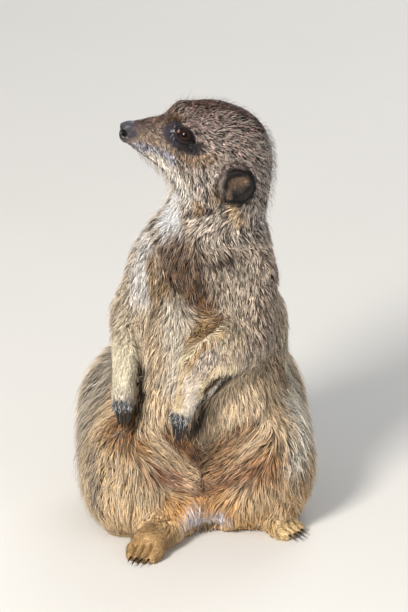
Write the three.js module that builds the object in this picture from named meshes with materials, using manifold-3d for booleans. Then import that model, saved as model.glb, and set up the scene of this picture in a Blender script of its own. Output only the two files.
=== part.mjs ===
// A life-size meerkat, sitting up on its haunches with its head turned to its right.
// Millimetres, +Z up. The animal sits facing -Y, so its left side is +X, and the origin is the middle of
// its seat on the floor. Every outline is the outline of the coat, out to the tips of the hair.
import * as THREE from "three";
import { mergeVertices } from "three/addons/utils/BufferGeometryUtils.js";
import Module from "manifold-3d";

const wasm = await Module();
wasm.setup();

const { clamp, degToRad, lerp } = THREE.MathUtils;
const vec = (x, y, z) => new THREE.Vector3(x, y, z);

// ---------------------------------------------------------------- driving dimensions
const GAP = 0.3; // clearance between neighbouring pieces
const SIDES = [
  { side: "left", sign: 1 },
  { side: "right", sign: -1 },
];

// The head turns by `yaw` to its right and lifts its nose by `pitch`.
const HEAD = { centre: vec(10.5, 9, 210.5), yaw: 87, pitch: 20, size: 0.935 };
const EYE = { forward: 24.6, aside: 12.8, up: 5.7, radius: 4.9 };
const EAR = { forward: -12, aside: 25.8, up: -9, length: 21, height: 19.5, thick: 3, cup: 1.6, flare: 0 };
const NOSE_PAD = 55.6; // how far forward the bare nose begins

// The thin cuts that part the body. The chest, with its shoulders, is turned by `chestTurn` to the right.
const chestTurn = 22;
const CUTS = {
  neckTop: { point: vec(10, 9, 190), normal: vec(-0.31, 0, 0.95).normalize() },
  neckFoot: { point: vec(4, 9, 166), normal: vec(-0.14, 0, 0.99).normalize() },
  waist: { point: vec(0, 0, 96), normal: vec(0, 0, 1) },
  shoulder: { inner: 18, back: 14 },
  groin: { aside: 27, front: 8, height: 30, normal: vec(0.85, -0.2, -0.48).normalize() },
};

// Each arm runs shoulder, elbow, wrist, knuckles. The fingers hang from the knuckles along `hang`,
// side by side along `across`, and their claws bend towards `curl`. The left arm is the more bent of the
// two, and the full coat in its `crook` fills the corner from the upper arm to the wrist.
const ARMS = {
  left: {
    shoulder: vec(28.5, -6, 143),
    elbow: vec(27, -25, 109),
    wrist: vec(-5, -54, 91),
    knuckles: vec(-11, -59, 85),
    crook: [vec(14, -28, 120), vec(-4, -40, 110), vec(-6.3, -53, 91.5)],
    hang: vec(-0.2, -0.15, -1).normalize(),
    across: vec(0.93, -0.25, -0.15).normalize(),
    curl: vec(0.45, 0.85, -0.1).normalize(),
  },
  right: {
    shoulder: vec(-27, 8, 142),
    elbow: vec(-38.5, 0, 113),
    wrist: vec(-42.5, -36, 93),
    knuckles: vec(-43.5, -43, 86),
    hang: vec(0.02, -0.15, -1).normalize(),
    across: vec(0.97, -0.22, 0.05).normalize(),
    curl: vec(0.1, 0.95, -0.2).normalize(),
  },
};
const ARM = { shoulder: 15, elbow: 11.4, forearm: 9.4, wrist: 6.6, knuckles: 5.8, palm: 4.2, crook: 8.3 };
const FINGER = { pitch: 2.8, length: 9.8, root: 2.3, tip: 1.55 };
const FINGER_CLAW = { length: 10, root: 1.2, tip: 0.4, bend: 3.4 };

// Each hind foot lies flat on the floor from heel to ball, and its toes fan out about `heading`.
const FEET = {
  left: { heel: vec(23, -16, 9.5), ball: vec(44, -35, 6.6), heading: 42 },
  right: { heel: vec(-14, -37.4, 9.5), ball: vec(-30, -64, 6.6), heading: -22 },
};
const FOOT = { heel: 10, ball: 8, breadth: 1.25 };
const TOE = { pitch: 5.2, length: 11.5, root: 4.1, tip: 2.9, fan: 7 };
const TOE_CLAW = { length: 7.5, root: 1.35, tip: 0.45, bend: 1.2 };
const DIGITS = [-1.5, -0.5, 0.5, 1.5]; // places of the four digits, in pitches from the middle

// The tail lies on the floor; `radius` is its half thickness at each of these points.
const TAIL = [
  { point: vec(0, 44, 13), radius: 13.5 },
  { point: vec(1, 78, 9.8), radius: 10.4 },
  { point: vec(6, 120, 7.3), radius: 7.8 },
  { point: vec(18, 168, 5.6), radius: 6.1 },
  { point: vec(38, 218, 4.2), radius: 4.6 },
];
const TAIL_PARTS = ["base", "middle", "tip"];

const GRAIN = { body: 9, cranium: 6.4, face: 3.6 }; // size of the facets

const LOOKS = {
  coat: { color: "#9c8465", roughness: 0.9 },
  belly: { color: "#b39a78", roughness: 0.92 },
  golden: { color: "#b98f55", roughness: 0.88 },
  pale: { color: "#c4b091", roughness: 0.9 },
  dark: { color: "#2b2522", roughness: 0.85 },
  nose: { color: "#17161a", roughness: 0.35 },
  eye: { color: "#1d0f08", roughness: 0.08 },
  claw: { color: "#343941", roughness: 0.35 },
};

// ---------------------------------------------------------------- fields
// A field is negative inside a body, and about the distance in mm outside it.
const ellipsoid = (centre, radii, turnDeg = 0) => {
  const cos = Math.cos(degToRad(turnDeg));
  const sin = Math.sin(degToRad(turnDeg));
  return (p) => {
    const dx = p.x - centre.x;
    const dy = p.y - centre.y;
    const x = (dx * cos + dy * sin) / radii.x;
    const y = (dy * cos - dx * sin) / radii.y;
    const z = (p.z - centre.z) / radii.z;
    const reach = Math.hypot(x, y, z);
    const slope = Math.hypot(x / radii.x, y / radii.y, z / radii.z);
    return slope > 0 ? (reach * (reach - 1)) / slope : -Math.min(radii.x, radii.y, radii.z);
  };
};

// A tapering bar with round ends, from `a` of radius `ra` to `b` of radius `rb`.
const bar = (a, ra, b, rb) => {
  const axis = b.clone().sub(a);
  const spot = new THREE.Vector3();
  return (p) => {
    const share = clamp(spot.copy(p).sub(a).dot(axis) / axis.lengthSq(), 0, 1);
    return p.distanceTo(spot.copy(a).addScaledVector(axis, share)) - lerp(ra, rb, share);
  };
};

// Joins fields so that they run into each other over about `width` mm, as muscles do under a coat.
const blend = (width, ...fields) => (p) =>
  fields
    .map((field) => field(p))
    .reduce((a, b) => {
      const near = Math.max(width - Math.abs(a - b), 0) / width;
      return Math.min(a, b) - (near * near * width) / 4;
    });

// Takes a soft-edged hollow out of a field.
const hollowed = (width, field, hollow) => (p) => {
  const a = field(p);
  const b = -hollow(p);
  const near = Math.max(width - Math.abs(a - b), 0) / width;
  return Math.max(a, b) + (near * near * width) / 4;
};

// ---------------------------------------------------------------- the head's own frame
// Its x runs forward to the nose, y to the animal's left and z up through the crown.
const headFrame = (() => {
  const yaw = degToRad(HEAD.yaw);
  const pitch = degToRad(HEAD.pitch);
  const level = vec(-Math.sin(yaw), -Math.cos(yaw), 0);
  const forward = level.clone().multiplyScalar(Math.cos(pitch)).add(vec(0, 0, Math.sin(pitch)));
  const left = vec(0, 0, 1).cross(level);
  const up = forward.clone().cross(left);
  const scale = vec(HEAD.size, HEAD.size, HEAD.size);
  return new THREE.Matrix4().makeBasis(forward, left, up).scale(scale).setPosition(HEAD.centre);
})();
const headInverse = headFrame.clone().invert();
const inHead = (x, y, z) => vec(x, y, z).applyMatrix4(headFrame);
const headWay = (x, y, z) => inHead(x, y, z).sub(HEAD.centre).normalize();

function headField() {
  const cranium = ellipsoid(vec(0, 0, 3), vec(28, 22, 24));
  const crown = ellipsoid(vec(13, 0, 11), vec(18, 15, 14));
  const brow = ellipsoid(vec(28, 0, 11), vec(9.5, 11.5, 10.5));
  const browRidge = ellipsoid(vec(25, 11, 12), vec(8, 5, 4.5));
  const muzzle = bar(vec(27, 0, -4), 12.6, vec(53.5, 0, -9), 5);
  const bridge = bar(vec(34, 0, 3), 7.5, vec(51.5, 0, -3.9), 4.8);
  const lips = bar(vec(26, 5, -9), 8.4, vec(46, 2.4, -12), 4.6);
  const jaw = bar(vec(12, 0, -15.5), 13, vec(44, 0, -15), 4.4);
  const cheek = ellipsoid(vec(3, 9, -10), vec(23, 15, 16.5));
  const noseTip = ellipsoid(vec(55.2, 0, -8), vec(4.6, 4.8, 6.2));
  const eyeHollow = ellipsoid(vec(26.6, 19.2, 5.9), vec(8, 4.2, 5.2));
  const bone = blend(7, cranium, crown, cheek, muzzle, jaw);
  const face = blend(3, bone, brow, bridge, lips, browRidge, noseTip);
  const detailed = hollowed(3, face, eyeHollow);
  return (world) => {
    const p = world.clone().applyMatrix4(headInverse);
    p.y = Math.abs(p.y);
    return detailed(p) * HEAD.size;
  };
}

// ---------------------------------------------------------------- the whole body as one field
const HAUNCHES = {
  left: blend(
    9,
    ellipsoid(vec(24, 18, 52), vec(35, 35, 45)),
    ellipsoid(vec(31, -4, 33), vec(31, 40, 44), 16),
    ellipsoid(vec(40, -20, 34), vec(19, 21, 33), 30),
    bar(vec(38, -22, 20), 19, vec(13, -33, 12), 12),
  ),
  right: blend(
    9,
    ellipsoid(vec(-31, 15, 52), vec(38.5, 35, 43)),
    ellipsoid(vec(-36, -9, 33), vec(31, 43, 44), -10),
    ellipsoid(vec(-43, -32, 34), vec(19, 21, 34), -20),
    bar(vec(-42, -34, 20), 19, vec(-10, -38, 12), 12.5),
  ),
};

function bodyField() {
  const trunk = blend(
    14,
    ellipsoid(vec(0, 12, 38), vec(46, 40, 43)),
    ellipsoid(vec(2, -13, 25), vec(21, 28, 28)),
    ellipsoid(vec(0, 18, 64), vec(42, 36, 52)),
    ellipsoid(vec(-1, -5, 73), vec(48, 40, 40)),
    ellipsoid(vec(3, 5, 107), vec(45, 38, 41)),
    ellipsoid(vec(-3, 6, 143), vec(33, 32, 28), -chestTurn),
    ellipsoid(vec(-18, 4, 160), vec(12, 14, 11)),
    ellipsoid(vec(27, 8, 155), vec(12.5, 14, 13)),
  );
  const upperArms = SIDES.map(({ side }) => {
    const { shoulder, elbow } = ARMS[side];
    return bar(shoulder, ARM.shoulder, elbow, ARM.elbow);
  });
  const neck = bar(vec(4, 9, 156), 29, vec(12.5, 8, 194), 25.5);
  const rump = bar(vec(0, 26, 27), 22, TAIL[0].point, TAIL[0].radius);
  const tailRoot = blend(4, rump, bar(TAIL[0].point, TAIL[0].radius, TAIL[1].point, TAIL[1].radius));
  const lower = blend(8, trunk, HAUNCHES.left, HAUNCHES.right, tailRoot);
  return blend(8, blend(6, lower, ...upperArms), neck, headField());
}

// ---------------------------------------------------------------- skinning a field
// Skins what a field holds inside the box from `low` to `high` with cells of `grain` mm: one point in every
// cell that the surface crosses, pulled onto the surface, and one square of points for every crossing.
function skinOf(wholeField, low, high, grain) {
  const middle = low.clone().lerp(high, 0.5);
  const inner = high.clone().sub(middle).subScalar(grain);
  const walls = (p) =>
    Math.max(
      Math.abs(p.x - middle.x) - inner.x,
      Math.abs(p.y - middle.y) - inner.y,
      Math.abs(p.z - middle.z) - inner.z,
    );
  const field = (p) => Math.max(wholeField(p), walls(p));
  const size = high.clone().sub(low);
  const count = [size.x, size.y, size.z].map((length) => Math.ceil(length / grain) + 1);
  const place = (i, j, k) => vec(low.x + i * grain, low.y + j * grain, low.z + k * grain);
  const slot = (i, j, k) => (i * count[1] + j) * count[2] + k;
  const values = new Float64Array(count[0] * count[1] * count[2]);
  const everywhere = (visit) => {
    for (let i = 0; i < count[0]; i++) {
      for (let j = 0; j < count[1]; j++) {
        for (let k = 0; k < count[2]; k++) visit(i, j, k);
      }
    }
  };
  everywhere((i, j, k) => {
    values[slot(i, j, k)] = field(place(i, j, k));
  });

  const points = [];
  const pointOf = new Map();
  const cellPoint = (i, j, k) => {
    const key = slot(i, j, k);
    if (!pointOf.has(key)) {
      pointOf.set(key, points.length);
      points.push(settle(field, crossingMiddle(i, j, k), grain));
    }
    return pointOf.get(key);
  };
  const crossingMiddle = (i, j, k) => {
    const middle = vec(0, 0, 0);
    let crossings = 0;
    const corners = [0, 1, 2, 3, 4, 5, 6, 7].map((c) => [i + (c & 1), j + ((c >> 1) & 1), k + (c >> 2)]);
    corners.forEach((a, from) => {
      for (const bit of [1, 2, 4]) {
        if (from & bit) continue;
        const b = corners[from | bit];
        const va = values[slot(...a)];
        const vb = values[slot(...b)];
        if (va < 0 === vb < 0) continue;
        middle.add(place(...a).lerp(place(...b), va / (va - vb)));
        crossings += 1;
      }
    });
    return middle.divideScalar(crossings);
  };

  const faces = [];
  const addSquare = (square) => {
    const [a, b, c, d] = square;
    const across = points[a].distanceTo(points[c]) < points[b].distanceTo(points[d]);
    faces.push(...(across ? [a, b, c, a, c, d] : [a, b, d, b, c, d]));
  };
  everywhere((i, j, k) => {
    const here = values[slot(i, j, k)] < 0;
    const steps = [
      { next: [i + 1, j, k], ring: [[0, 0, 0], [0, -1, 0], [0, -1, -1], [0, 0, -1]] },
      { next: [i, j + 1, k], ring: [[0, 0, 0], [0, 0, -1], [-1, 0, -1], [-1, 0, 0]] },
      { next: [i, j, k + 1], ring: [[0, 0, 0], [-1, 0, 0], [-1, -1, 0], [0, -1, 0]] },
    ];
    for (const { next, ring } of steps) {
      if (next.some((n, axis) => n >= count[axis])) continue;
      if (here === values[slot(...next)] < 0) continue;
      const square = ring.map(([di, dj, dk]) => cellPoint(i + di, j + dj, k + dk));
      addSquare(here ? square : square.reverse());
    }
  });
  return closedGeometry(points, faces);
}

// Slides a point down the slope of the field until it lies on the surface, but no more than a cell.
function settle(field, start, grain) {
  const STEP = 0.05;
  const p = start.clone();
  for (let round = 0; round < 3; round++) {
    const value = field(p);
    const slope = vec(
      field(vec(p.x + STEP, p.y, p.z)) - value,
      field(vec(p.x, p.y + STEP, p.z)) - value,
      field(vec(p.x, p.y, p.z + STEP)) - value,
    ).divideScalar(STEP);
    p.addScaledVector(slope, -value / Math.max(slope.lengthSq(), 0.2));
  }
  return p.sub(start).clampLength(0, grain * 0.5).add(start);
}

// ---------------------------------------------------------------- tapering limbs
// A closed tube along a curve. `sizeAt` gives its half width and half height at each share of the length,
// the height being measured towards `up`. Both ends bulge by `round` of their size, and `swell` mm are
// added all round.
function limb(curve, sizeAt, up, { rings = 5, spokes = 12, round = 0.5, swell = 0 } = {}) {
  const points = [];
  for (let r = 0; r < rings; r++) {
    const share = r / (rings - 1);
    const along = curve.getTangentAt(share);
    const side = along.clone().cross(up).normalize();
    const rise = side.clone().cross(along).normalize();
    const [width, height] = sizeAt(share);
    for (let s = 0; s < spokes; s++) {
      const angle = (s * 2 * Math.PI) / spokes;
      const point = curve.getPointAt(share);
      point.addScaledVector(side, (width + swell) * Math.cos(angle));
      points.push(point.addScaledVector(rise, (height + swell) * Math.sin(angle)));
    }
  }
  for (const end of [0, 1]) {
    const bulge = round * Math.min(...sizeAt(end)) + swell;
    points.push(curve.getPointAt(end).addScaledVector(curve.getTangentAt(end), end ? bulge : -bulge));
  }
  const at = (ring, spoke) => ring * spokes + (spoke % spokes);
  const [first, last] = [points.length - 2, points.length - 1];
  const faces = [];
  for (let s = 0; s < spokes; s++) {
    faces.push(first, at(0, s), at(0, s + 1));
    faces.push(last, at(rings - 1, s + 1), at(rings - 1, s));
    for (let r = 0; r + 1 < rings; r++) {
      faces.push(at(r, s), at(r + 1, s + 1), at(r, s + 1));
      faces.push(at(r, s), at(r + 1, s), at(r + 1, s + 1));
    }
  }
  return solid(closedGeometry(points, faces));
}

const closedGeometry = (points, faces) =>
  new THREE.BufferGeometry()
    .setAttribute("position", new THREE.Float32BufferAttribute(points.flatMap((p) => p.toArray()), 3))
    .setIndex(faces);

const bow = (...points) => new THREE.CatmullRomCurve3(points, false, "centripetal");
const taper = (root, tip, breadth = 1) => (share) => {
  const size = lerp(root, tip, share);
  return [size * breadth, size];
};

// ---------------------------------------------------------------- solids
function solid(geometry) {
  const bare = geometry.clone();
  bare.deleteAttribute("normal");
  bare.deleteAttribute("uv");
  const merged = mergeVertices(bare, 1e-3);
  return new wasm.Manifold(
    new wasm.Mesh({
      numProp: 3,
      vertProperties: merged.attributes.position.array,
      triVerts: new Uint32Array(merged.index.array),
    }),
  );
}

function geometryOf(shape) {
  const mesh = shape.getMesh();
  return new THREE.BufferGeometry()
    .setAttribute("position", new THREE.Float32BufferAttribute(mesh.vertProperties, 3))
    .setIndex(new THREE.Uint32BufferAttribute(mesh.triVerts, 1));
}

const joined = (shapes) => shapes.reduce((a, b) => a.add(b));

// A block that fills all of space beyond `point` on the side of `normal`.
function beyond(point, normal) {
  const SIDE = 900;
  const turn = new THREE.Quaternion().setFromUnitVectors(vec(0, 0, 1), normal);
  const block = new THREE.BoxGeometry(SIDE, SIDE, SIDE).translate(0, 0, SIDE / 2).applyQuaternion(turn);
  return solid(block.translate(point.x, point.y, point.z));
}

// Parts a solid by a thin cut through `point`: [what the normal points to, the rest].
function partAt(shape, { point, normal }) {
  const inside = beyond(point.clone().addScaledVector(normal, GAP / 2), normal);
  const outside = beyond(point.clone().addScaledVector(normal, -GAP / 2), normal.clone().negate());
  return [shape.intersect(inside), shape.intersect(outside)];
}

// The largest body of a solid, without the crumbs that a slanting cut may leave along an edge.
const main = (shape) => shape.decompose().reduce((a, b) => (a.volume() > b.volume() ? a : b));

const aboveFloor = (shape) => shape.intersect(beyond(vec(0, 0, 0), vec(0, 0, 1)));

// ---------------------------------------------------------------- arms and hands
function forearm({ elbow, wrist, crook }, swell = 0) {
  const MUSCLE = 0.4; // the share of the forearm's length that its muscle takes up
  const sizeAt = (share) => {
    const upper = lerp(ARM.elbow, ARM.forearm, share / MUSCLE);
    const lower = lerp(ARM.forearm, ARM.wrist, (share - MUSCLE) / (1 - MUSCLE));
    const radius = share < MUSCLE ? upper : lower;
    return [radius, radius];
  };
  const curve = bow(elbow, elbow.clone().lerp(wrist, 0.5), wrist);
  const bar = limb(curve, sizeAt, vec(0, 0, 1), { round: 0.7, swell });
  if (!crook) {
    return bar;
  }
  return joined([bar, limb(bow(...crook), taper(ARM.crook, ARM.crook), vec(0, 0, 1), { swell })]).hull();
}

function hand({ wrist, knuckles, hang, across }, swell = 0) {
  const facing = across.clone().cross(hang);
  const palmEnd = knuckles.clone().addScaledVector(hang, 2);
  const palm = limb(
    bow(wrist, wrist.clone().lerp(knuckles, 0.5), palmEnd),
    (share) => [lerp(ARM.wrist, ARM.knuckles, share), lerp(ARM.wrist, ARM.palm, share)],
    facing,
    { rings: 4, swell },
  );
  const shape = { rings: 2, spokes: 7, round: 0.3, swell };
  const fingers = DIGITS.map((place) => {
    const line = new THREE.LineCurve3(...fingerLine(knuckles, hang, across, place));
    return limb(line, taper(FINGER.root, FINGER.tip), facing, shape);
  });
  return joined([palm, ...fingers]);
}

function fingerLine(knuckles, hang, across, place) {
  const from = knuckles.clone().addScaledVector(across, place * FINGER.pitch);
  const reach = FINGER.length * (1 - 0.07 * place * place);
  return [from, from.clone().addScaledVector(hang, reach)];
}

function claw(from, way, curl, { length, root, tip, bend }) {
  const start = from.clone().addScaledVector(way, GAP + 0.3 * root);
  const middle = start.clone().addScaledVector(way, length * 0.55);
  const end = start.clone().addScaledVector(way, length * 0.9).addScaledVector(curl, bend);
  const curve = new THREE.QuadraticBezierCurve3(start, middle, end);
  const across = way.clone().cross(curl).normalize();
  return limb(curve, taper(root, tip, 1.1), across, { rings: 4, spokes: 6, round: 0.3 });
}

function fingerClaws({ knuckles, hang, across, curl }) {
  return DIGITS.map((place) => {
    const [, tip] = fingerLine(knuckles, hang, across, place);
    return claw(tip.addScaledVector(hang, 0.3 * FINGER.tip), hang, curl, FINGER_CLAW);
  });
}

// ---------------------------------------------------------------- hind feet
// The way a toe points, level with the floor, `place` pitches from the middle of the foot.
function toeWay({ heading }, place) {
  const angle = degToRad(heading + place * TOE.fan);
  return vec(Math.sin(angle), -Math.cos(angle), 0);
}

function toeLine(foot, place) {
  const across = toeWay(foot, 0).cross(vec(0, 0, 1)).negate();
  const from = foot.ball.clone().addScaledVector(across, -place * TOE.pitch).setZ(TOE.root + 0.4);
  const reach = TOE.length * (1 - 0.06 * (place - 0.2) ** 2); // the third toe reaches furthest
  return [from, from.clone().addScaledVector(toeWay(foot, place), reach).setZ(TOE.tip - 0.25)];
}

function hindFoot(foot, swell = 0) {
  const up = vec(0, 0, 1);
  const soleShape = { rings: 4, spokes: 12, round: 0.8, swell };
  const toeShape = { rings: 3, spokes: 8, round: 0.7, swell };
  const soleLine = new THREE.LineCurve3(foot.heel, foot.ball);
  const sole = limb(soleLine, taper(FOOT.heel, FOOT.ball, FOOT.breadth), up, soleShape);
  const toes = DIGITS.map((place) => {
    const line = new THREE.LineCurve3(...toeLine(foot, place));
    return limb(line, taper(TOE.root, TOE.tip), up, toeShape);
  });
  return joined([sole, ...toes]);
}

function toeClaws(foot) {
  return DIGITS.map((place) => {
    const [, tip] = toeLine(foot, place);
    const way = toeWay(foot, place);
    return claw(tip.addScaledVector(way, 0.7 * TOE.tip), way, vec(0, 0, -1), TOE_CLAW);
  });
}

// ---------------------------------------------------------------- tail
const tailCurve = () => bow(...TAIL.map(({ point }) => point));

// The cut in front of the tail's part number `i`.
function tailCut(i) {
  const share = 0.1 + 0.3 * i;
  return { point: tailCurve().getPointAt(share), normal: tailCurve().getTangentAt(share) };
}

function tail() {
  const curve = tailCurve();
  const sizeAt = (share) => {
    const spot = Math.min(share * (TAIL.length - 1), TAIL.length - 1.0001);
    const [from, to] = [TAIL[Math.floor(spot)], TAIL[Math.floor(spot) + 1]];
    const radius = lerp(from.radius, to.radius, spot % 1);
    return [radius, radius];
  };
  let rest = aboveFloor(limb(curve, sizeAt, vec(0, 0, 1), { rings: 14, spokes: 10, round: 1 }));
  return TAIL_PARTS.map((name, i) => {
    const [beyondCut] = partAt(rest, tailCut(i));
    const [after, shape] = i + 1 < TAIL_PARTS.length ? partAt(beyondCut, tailCut(i + 1)) : [null, beyondCut];
    rest = after;
    return { name: `tail_${name}`, shape, look: name === "tip" ? "dark" : "coat" };
  });
}

// ---------------------------------------------------------------- ears and eyes
// A thin round-edged disc, cupped outwards, whose rear edge stands off the head by `flare` degrees.
function ear(sign, swell = 0) {
  const disc = new THREE.SphereGeometry(1, 16, 8);
  const place = disc.attributes.position;
  for (let i = 0; i < place.count; i++) {
    const [x, y, z] = [place.getX(i), place.getY(i), place.getZ(i)];
    const rim = Math.hypot(x, z);
    const edge = rim > 0 ? Math.pow(rim, 0.6) / rim : 0;
    place.setX(i, x * edge * (EAR.length / 2 + swell));
    place.setZ(i, z * edge * (EAR.height / 2 + swell));
    place.setY(i, y * (EAR.thick / 2 + swell) + EAR.cup * Math.pow(rim, 1.2));
  }
  disc.rotateZ(degToRad(-EAR.flare));
  disc.translate(EAR.forward, EAR.aside, EAR.up);
  if (sign < 0) mirrorAcross(disc);
  return solid(disc.applyMatrix4(headFrame));
}

// Mirrors left to right, and turns the faces about so that they still point outwards.
function mirrorAcross(geometry) {
  geometry.scale(1, -1, 1);
  const { array } = geometry.index;
  for (let i = 0; i < array.length; i += 3) {
    [array[i + 1], array[i + 2]] = [array[i + 2], array[i + 1]];
  }
}

function eye(sign, swell = 0) {
  const centre = inHead(EYE.forward, sign * EYE.aside, EYE.up);
  return solid(new THREE.SphereGeometry(EYE.radius + swell, 14, 9).translate(centre.x, centre.y, centre.z));
}

// ---------------------------------------------------------------- the parted body
// The corner of the chest that holds a shoulder and upper arm, as a block turned with the chest.
function shoulderBlock(sign, swell) {
  const { inner, back } = CUTS.shoulder;
  const SIDE = 300;
  const block = new THREE.BoxGeometry(SIDE, SIDE, SIDE);
  block.translate(sign * (inner - swell + SIDE / 2), back + swell - SIDE / 2, CUTS.waist.point.z);
  return solid(block.rotateZ(degToRad(-chestTurn)));
}

function flesh() {
  const field = bodyField();
  const coarse = solid(skinOf(field, vec(-90, -84, -24), vec(90, 84, 222), GRAIN.body));
  const cranium = solid(skinOf(field, vec(-36, -44, 140), vec(66, 60, 260), GRAIN.cranium));
  const face = solid(skinOf(field, vec(-62, -30, 150), vec(-20, 48, 250), GRAIN.face));
  const others = SIDES.flatMap(({ side, sign }) => [
    forearm(ARMS[side], GAP),
    hand(ARMS[side], GAP),
    hindFoot(FEET[side], GAP),
    ear(sign, GAP),
    eye(sign, GAP),
  ]);
  const clear = (shape) => others.reduce((rest, other) => rest.subtract(other), shape);

  const [wholeHead] = partAt(clear(face.add(cranium)), CUTS.neckTop);
  const [nose, head] = partAt(wholeHead, { point: inHead(NOSE_PAD, 0, -8), normal: headWay(1, 0, 0) });
  const [, headless] = partAt(aboveFloor(clear(coarse)), CUTS.neckTop);
  const [neck, trunk] = partAt(headless, CUTS.neckFoot);
  let [chest, belly] = partAt(trunk, CUTS.waist);
  [, belly] = partAt(belly, tailCut(0));

  const parts = [
    { name: "head", shape: head, look: "coat" },
    { name: "nose", shape: nose, look: "nose" },
    { name: "neck", shape: neck, look: "coat" },
  ];
  for (const { side, sign } of SIDES) {
    const { aside, front, height, normal } = CUTS.groin;
    const groin = { point: vec(sign * aside, -front, height), normal: normal.clone().setX(sign * normal.x) };
    const [thigh, rest] = partAt(belly, groin);
    parts.push({ name: `thigh_${side}`, shape: thigh, look: "coat" });
    const upperArm = chest.intersect(shoulderBlock(sign, -GAP));
    parts.push({ name: `upper_arm_${side}`, shape: upperArm, look: "coat" });
    chest = chest.subtract(shoulderBlock(sign, 0));
    belly = rest;
  }
  parts.push({ name: "chest", shape: chest, look: "coat" }, { name: "belly", shape: belly, look: "belly" });
  return parts;
}

function limbsAndFeatures() {
  const parts = [];
  for (const { side, sign } of SIDES) {
    const arm = ARMS[side];
    parts.push({ name: `ear_${side}`, shape: ear(sign), look: "dark" });
    parts.push({ name: `eye_${side}`, shape: eye(sign), look: "eye" });
    parts.push({ name: `forearm_${side}`, shape: forearm(arm).subtract(hand(arm, GAP)), look: "pale" });
    parts.push({ name: `hand_${side}`, shape: hand(arm), look: "pale" });
    parts.push({ name: `hind_foot_${side}`, shape: aboveFloor(hindFoot(FEET[side])), look: "golden" });
    const claws = { finger: fingerClaws(arm), toe: toeClaws(FEET[side]) };
    for (const [digit, shapes] of Object.entries(claws)) {
      shapes.forEach((shape, i) => {
        parts.push({ name: `${digit}_claw_${side}_${i + 1}`, shape, look: "claw" });
      });
    }
  }
  return [...parts, ...tail()];
}

// ---------------------------------------------------------------- the animal
const animal = new THREE.Group();
animal.name = "meerkat";
for (const { name, shape, look } of [...flesh(), ...limbsAndFeatures()]) {
  const material = new THREE.MeshStandardMaterial({ ...LOOKS[look], metalness: 0 });
  const mesh = new THREE.Mesh(geometryOf(main(shape)), material);
  mesh.name = name;
  animal.add(mesh);
}

export default animal;
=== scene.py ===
# %% [markdown]
# # A meerkat, sitting up on its haunches
# This is a still, life-size model of a meerkat, as a museum would show it. The construction, with its sizes
# and its flat seat, is already there as plain solids, which follow the outline of the coat. This lesson puts
# the animal inside that outline: one skin, the eyes and claws, and then the coat, tuft by tuft.
#
# The solids are loaded first. Nothing else is read from disk, and they are never moved.

# %% Load the frame
import math

import bmesh
import bpy
import numpy as np
from mathutils import Matrix, Vector
from mathutils.bvhtree import BVHTree
from mathutils.kdtree import KDTree


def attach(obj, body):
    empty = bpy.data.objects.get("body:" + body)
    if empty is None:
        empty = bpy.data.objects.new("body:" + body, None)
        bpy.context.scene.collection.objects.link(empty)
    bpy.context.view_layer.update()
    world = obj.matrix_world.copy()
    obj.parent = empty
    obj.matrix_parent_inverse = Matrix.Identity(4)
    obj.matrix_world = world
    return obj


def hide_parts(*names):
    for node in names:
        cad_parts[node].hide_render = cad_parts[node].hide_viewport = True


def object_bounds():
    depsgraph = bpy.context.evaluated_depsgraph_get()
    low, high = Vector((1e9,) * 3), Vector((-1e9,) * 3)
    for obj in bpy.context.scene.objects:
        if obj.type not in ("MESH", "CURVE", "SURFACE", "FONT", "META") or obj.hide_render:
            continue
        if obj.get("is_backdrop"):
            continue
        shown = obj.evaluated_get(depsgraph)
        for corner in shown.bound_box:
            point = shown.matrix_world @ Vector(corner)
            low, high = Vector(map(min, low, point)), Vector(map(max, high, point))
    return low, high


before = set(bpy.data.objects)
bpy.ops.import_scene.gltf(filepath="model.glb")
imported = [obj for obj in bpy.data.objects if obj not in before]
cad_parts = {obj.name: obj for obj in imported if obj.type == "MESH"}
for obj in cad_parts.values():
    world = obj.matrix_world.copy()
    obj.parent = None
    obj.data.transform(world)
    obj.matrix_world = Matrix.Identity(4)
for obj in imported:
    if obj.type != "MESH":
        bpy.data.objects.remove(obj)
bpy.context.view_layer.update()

MM = 0.001
scene = bpy.context.scene

# %% [markdown]
# ## Numbers that everything shares
# Lengths are worked out in millimetres and turned to metres only when a mesh is written. Colours are
# written as the hex values that a colour chart gives, and one function turns them to the linear values that
# the shaders want. Every random choice comes from one seeded generator, so that each run is alike.

# %% Colours, seeds and small helpers
rng = np.random.default_rng(11)


def linear(hex_value):
    """An sRGB hex colour as linear red, green and blue."""
    srgb = np.array([int(hex_value[i : i + 2], 16) for i in (1, 3, 5)]) / 255
    return np.where(srgb <= 0.04045, srgb / 12.92, ((srgb + 0.055) / 1.055) ** 2.4)


def unit(vectors):
    return vectors / np.maximum(np.linalg.norm(vectors, axis=-1, keepdims=True), 1e-9)


def smoothstep(low, high, value):
    """0 below low, 1 above high, and a smooth rise in between."""
    share = np.clip((value - low) / (high - low), 0, 1)
    return share * share * (3 - 2 * share)


def mix(a, b, share):
    return a + (b - a) * share


print("mid grey is", linear("#808080").round(3))

# %% [markdown]
# ## Camera, floor and light
# The camera looks at the animal from the front and 24 degrees above, through a long lens, as one watches a
# meerkat from standing height. The floor is plain and pale, and large soft lamps light it as a studio would:
# the key from the upper left, a weaker fill from the right, and a pale sky all round.

# %% Camera
ELEVATION = math.radians(24)
DISTANCE = 2600 * MM
VIEW_HEIGHT = 342.72 * MM  # what is in view at the animal, from bottom to top
SENSOR = 36.0
AIM_ASIDE, AIM_UP = 1.1, 110.3  # mm from the seat to the middle of the view
AIM = Vector((AIM_ASIDE, AIM_UP * math.sin(ELEVATION), AIM_UP * math.cos(ELEVATION))) * MM

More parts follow.
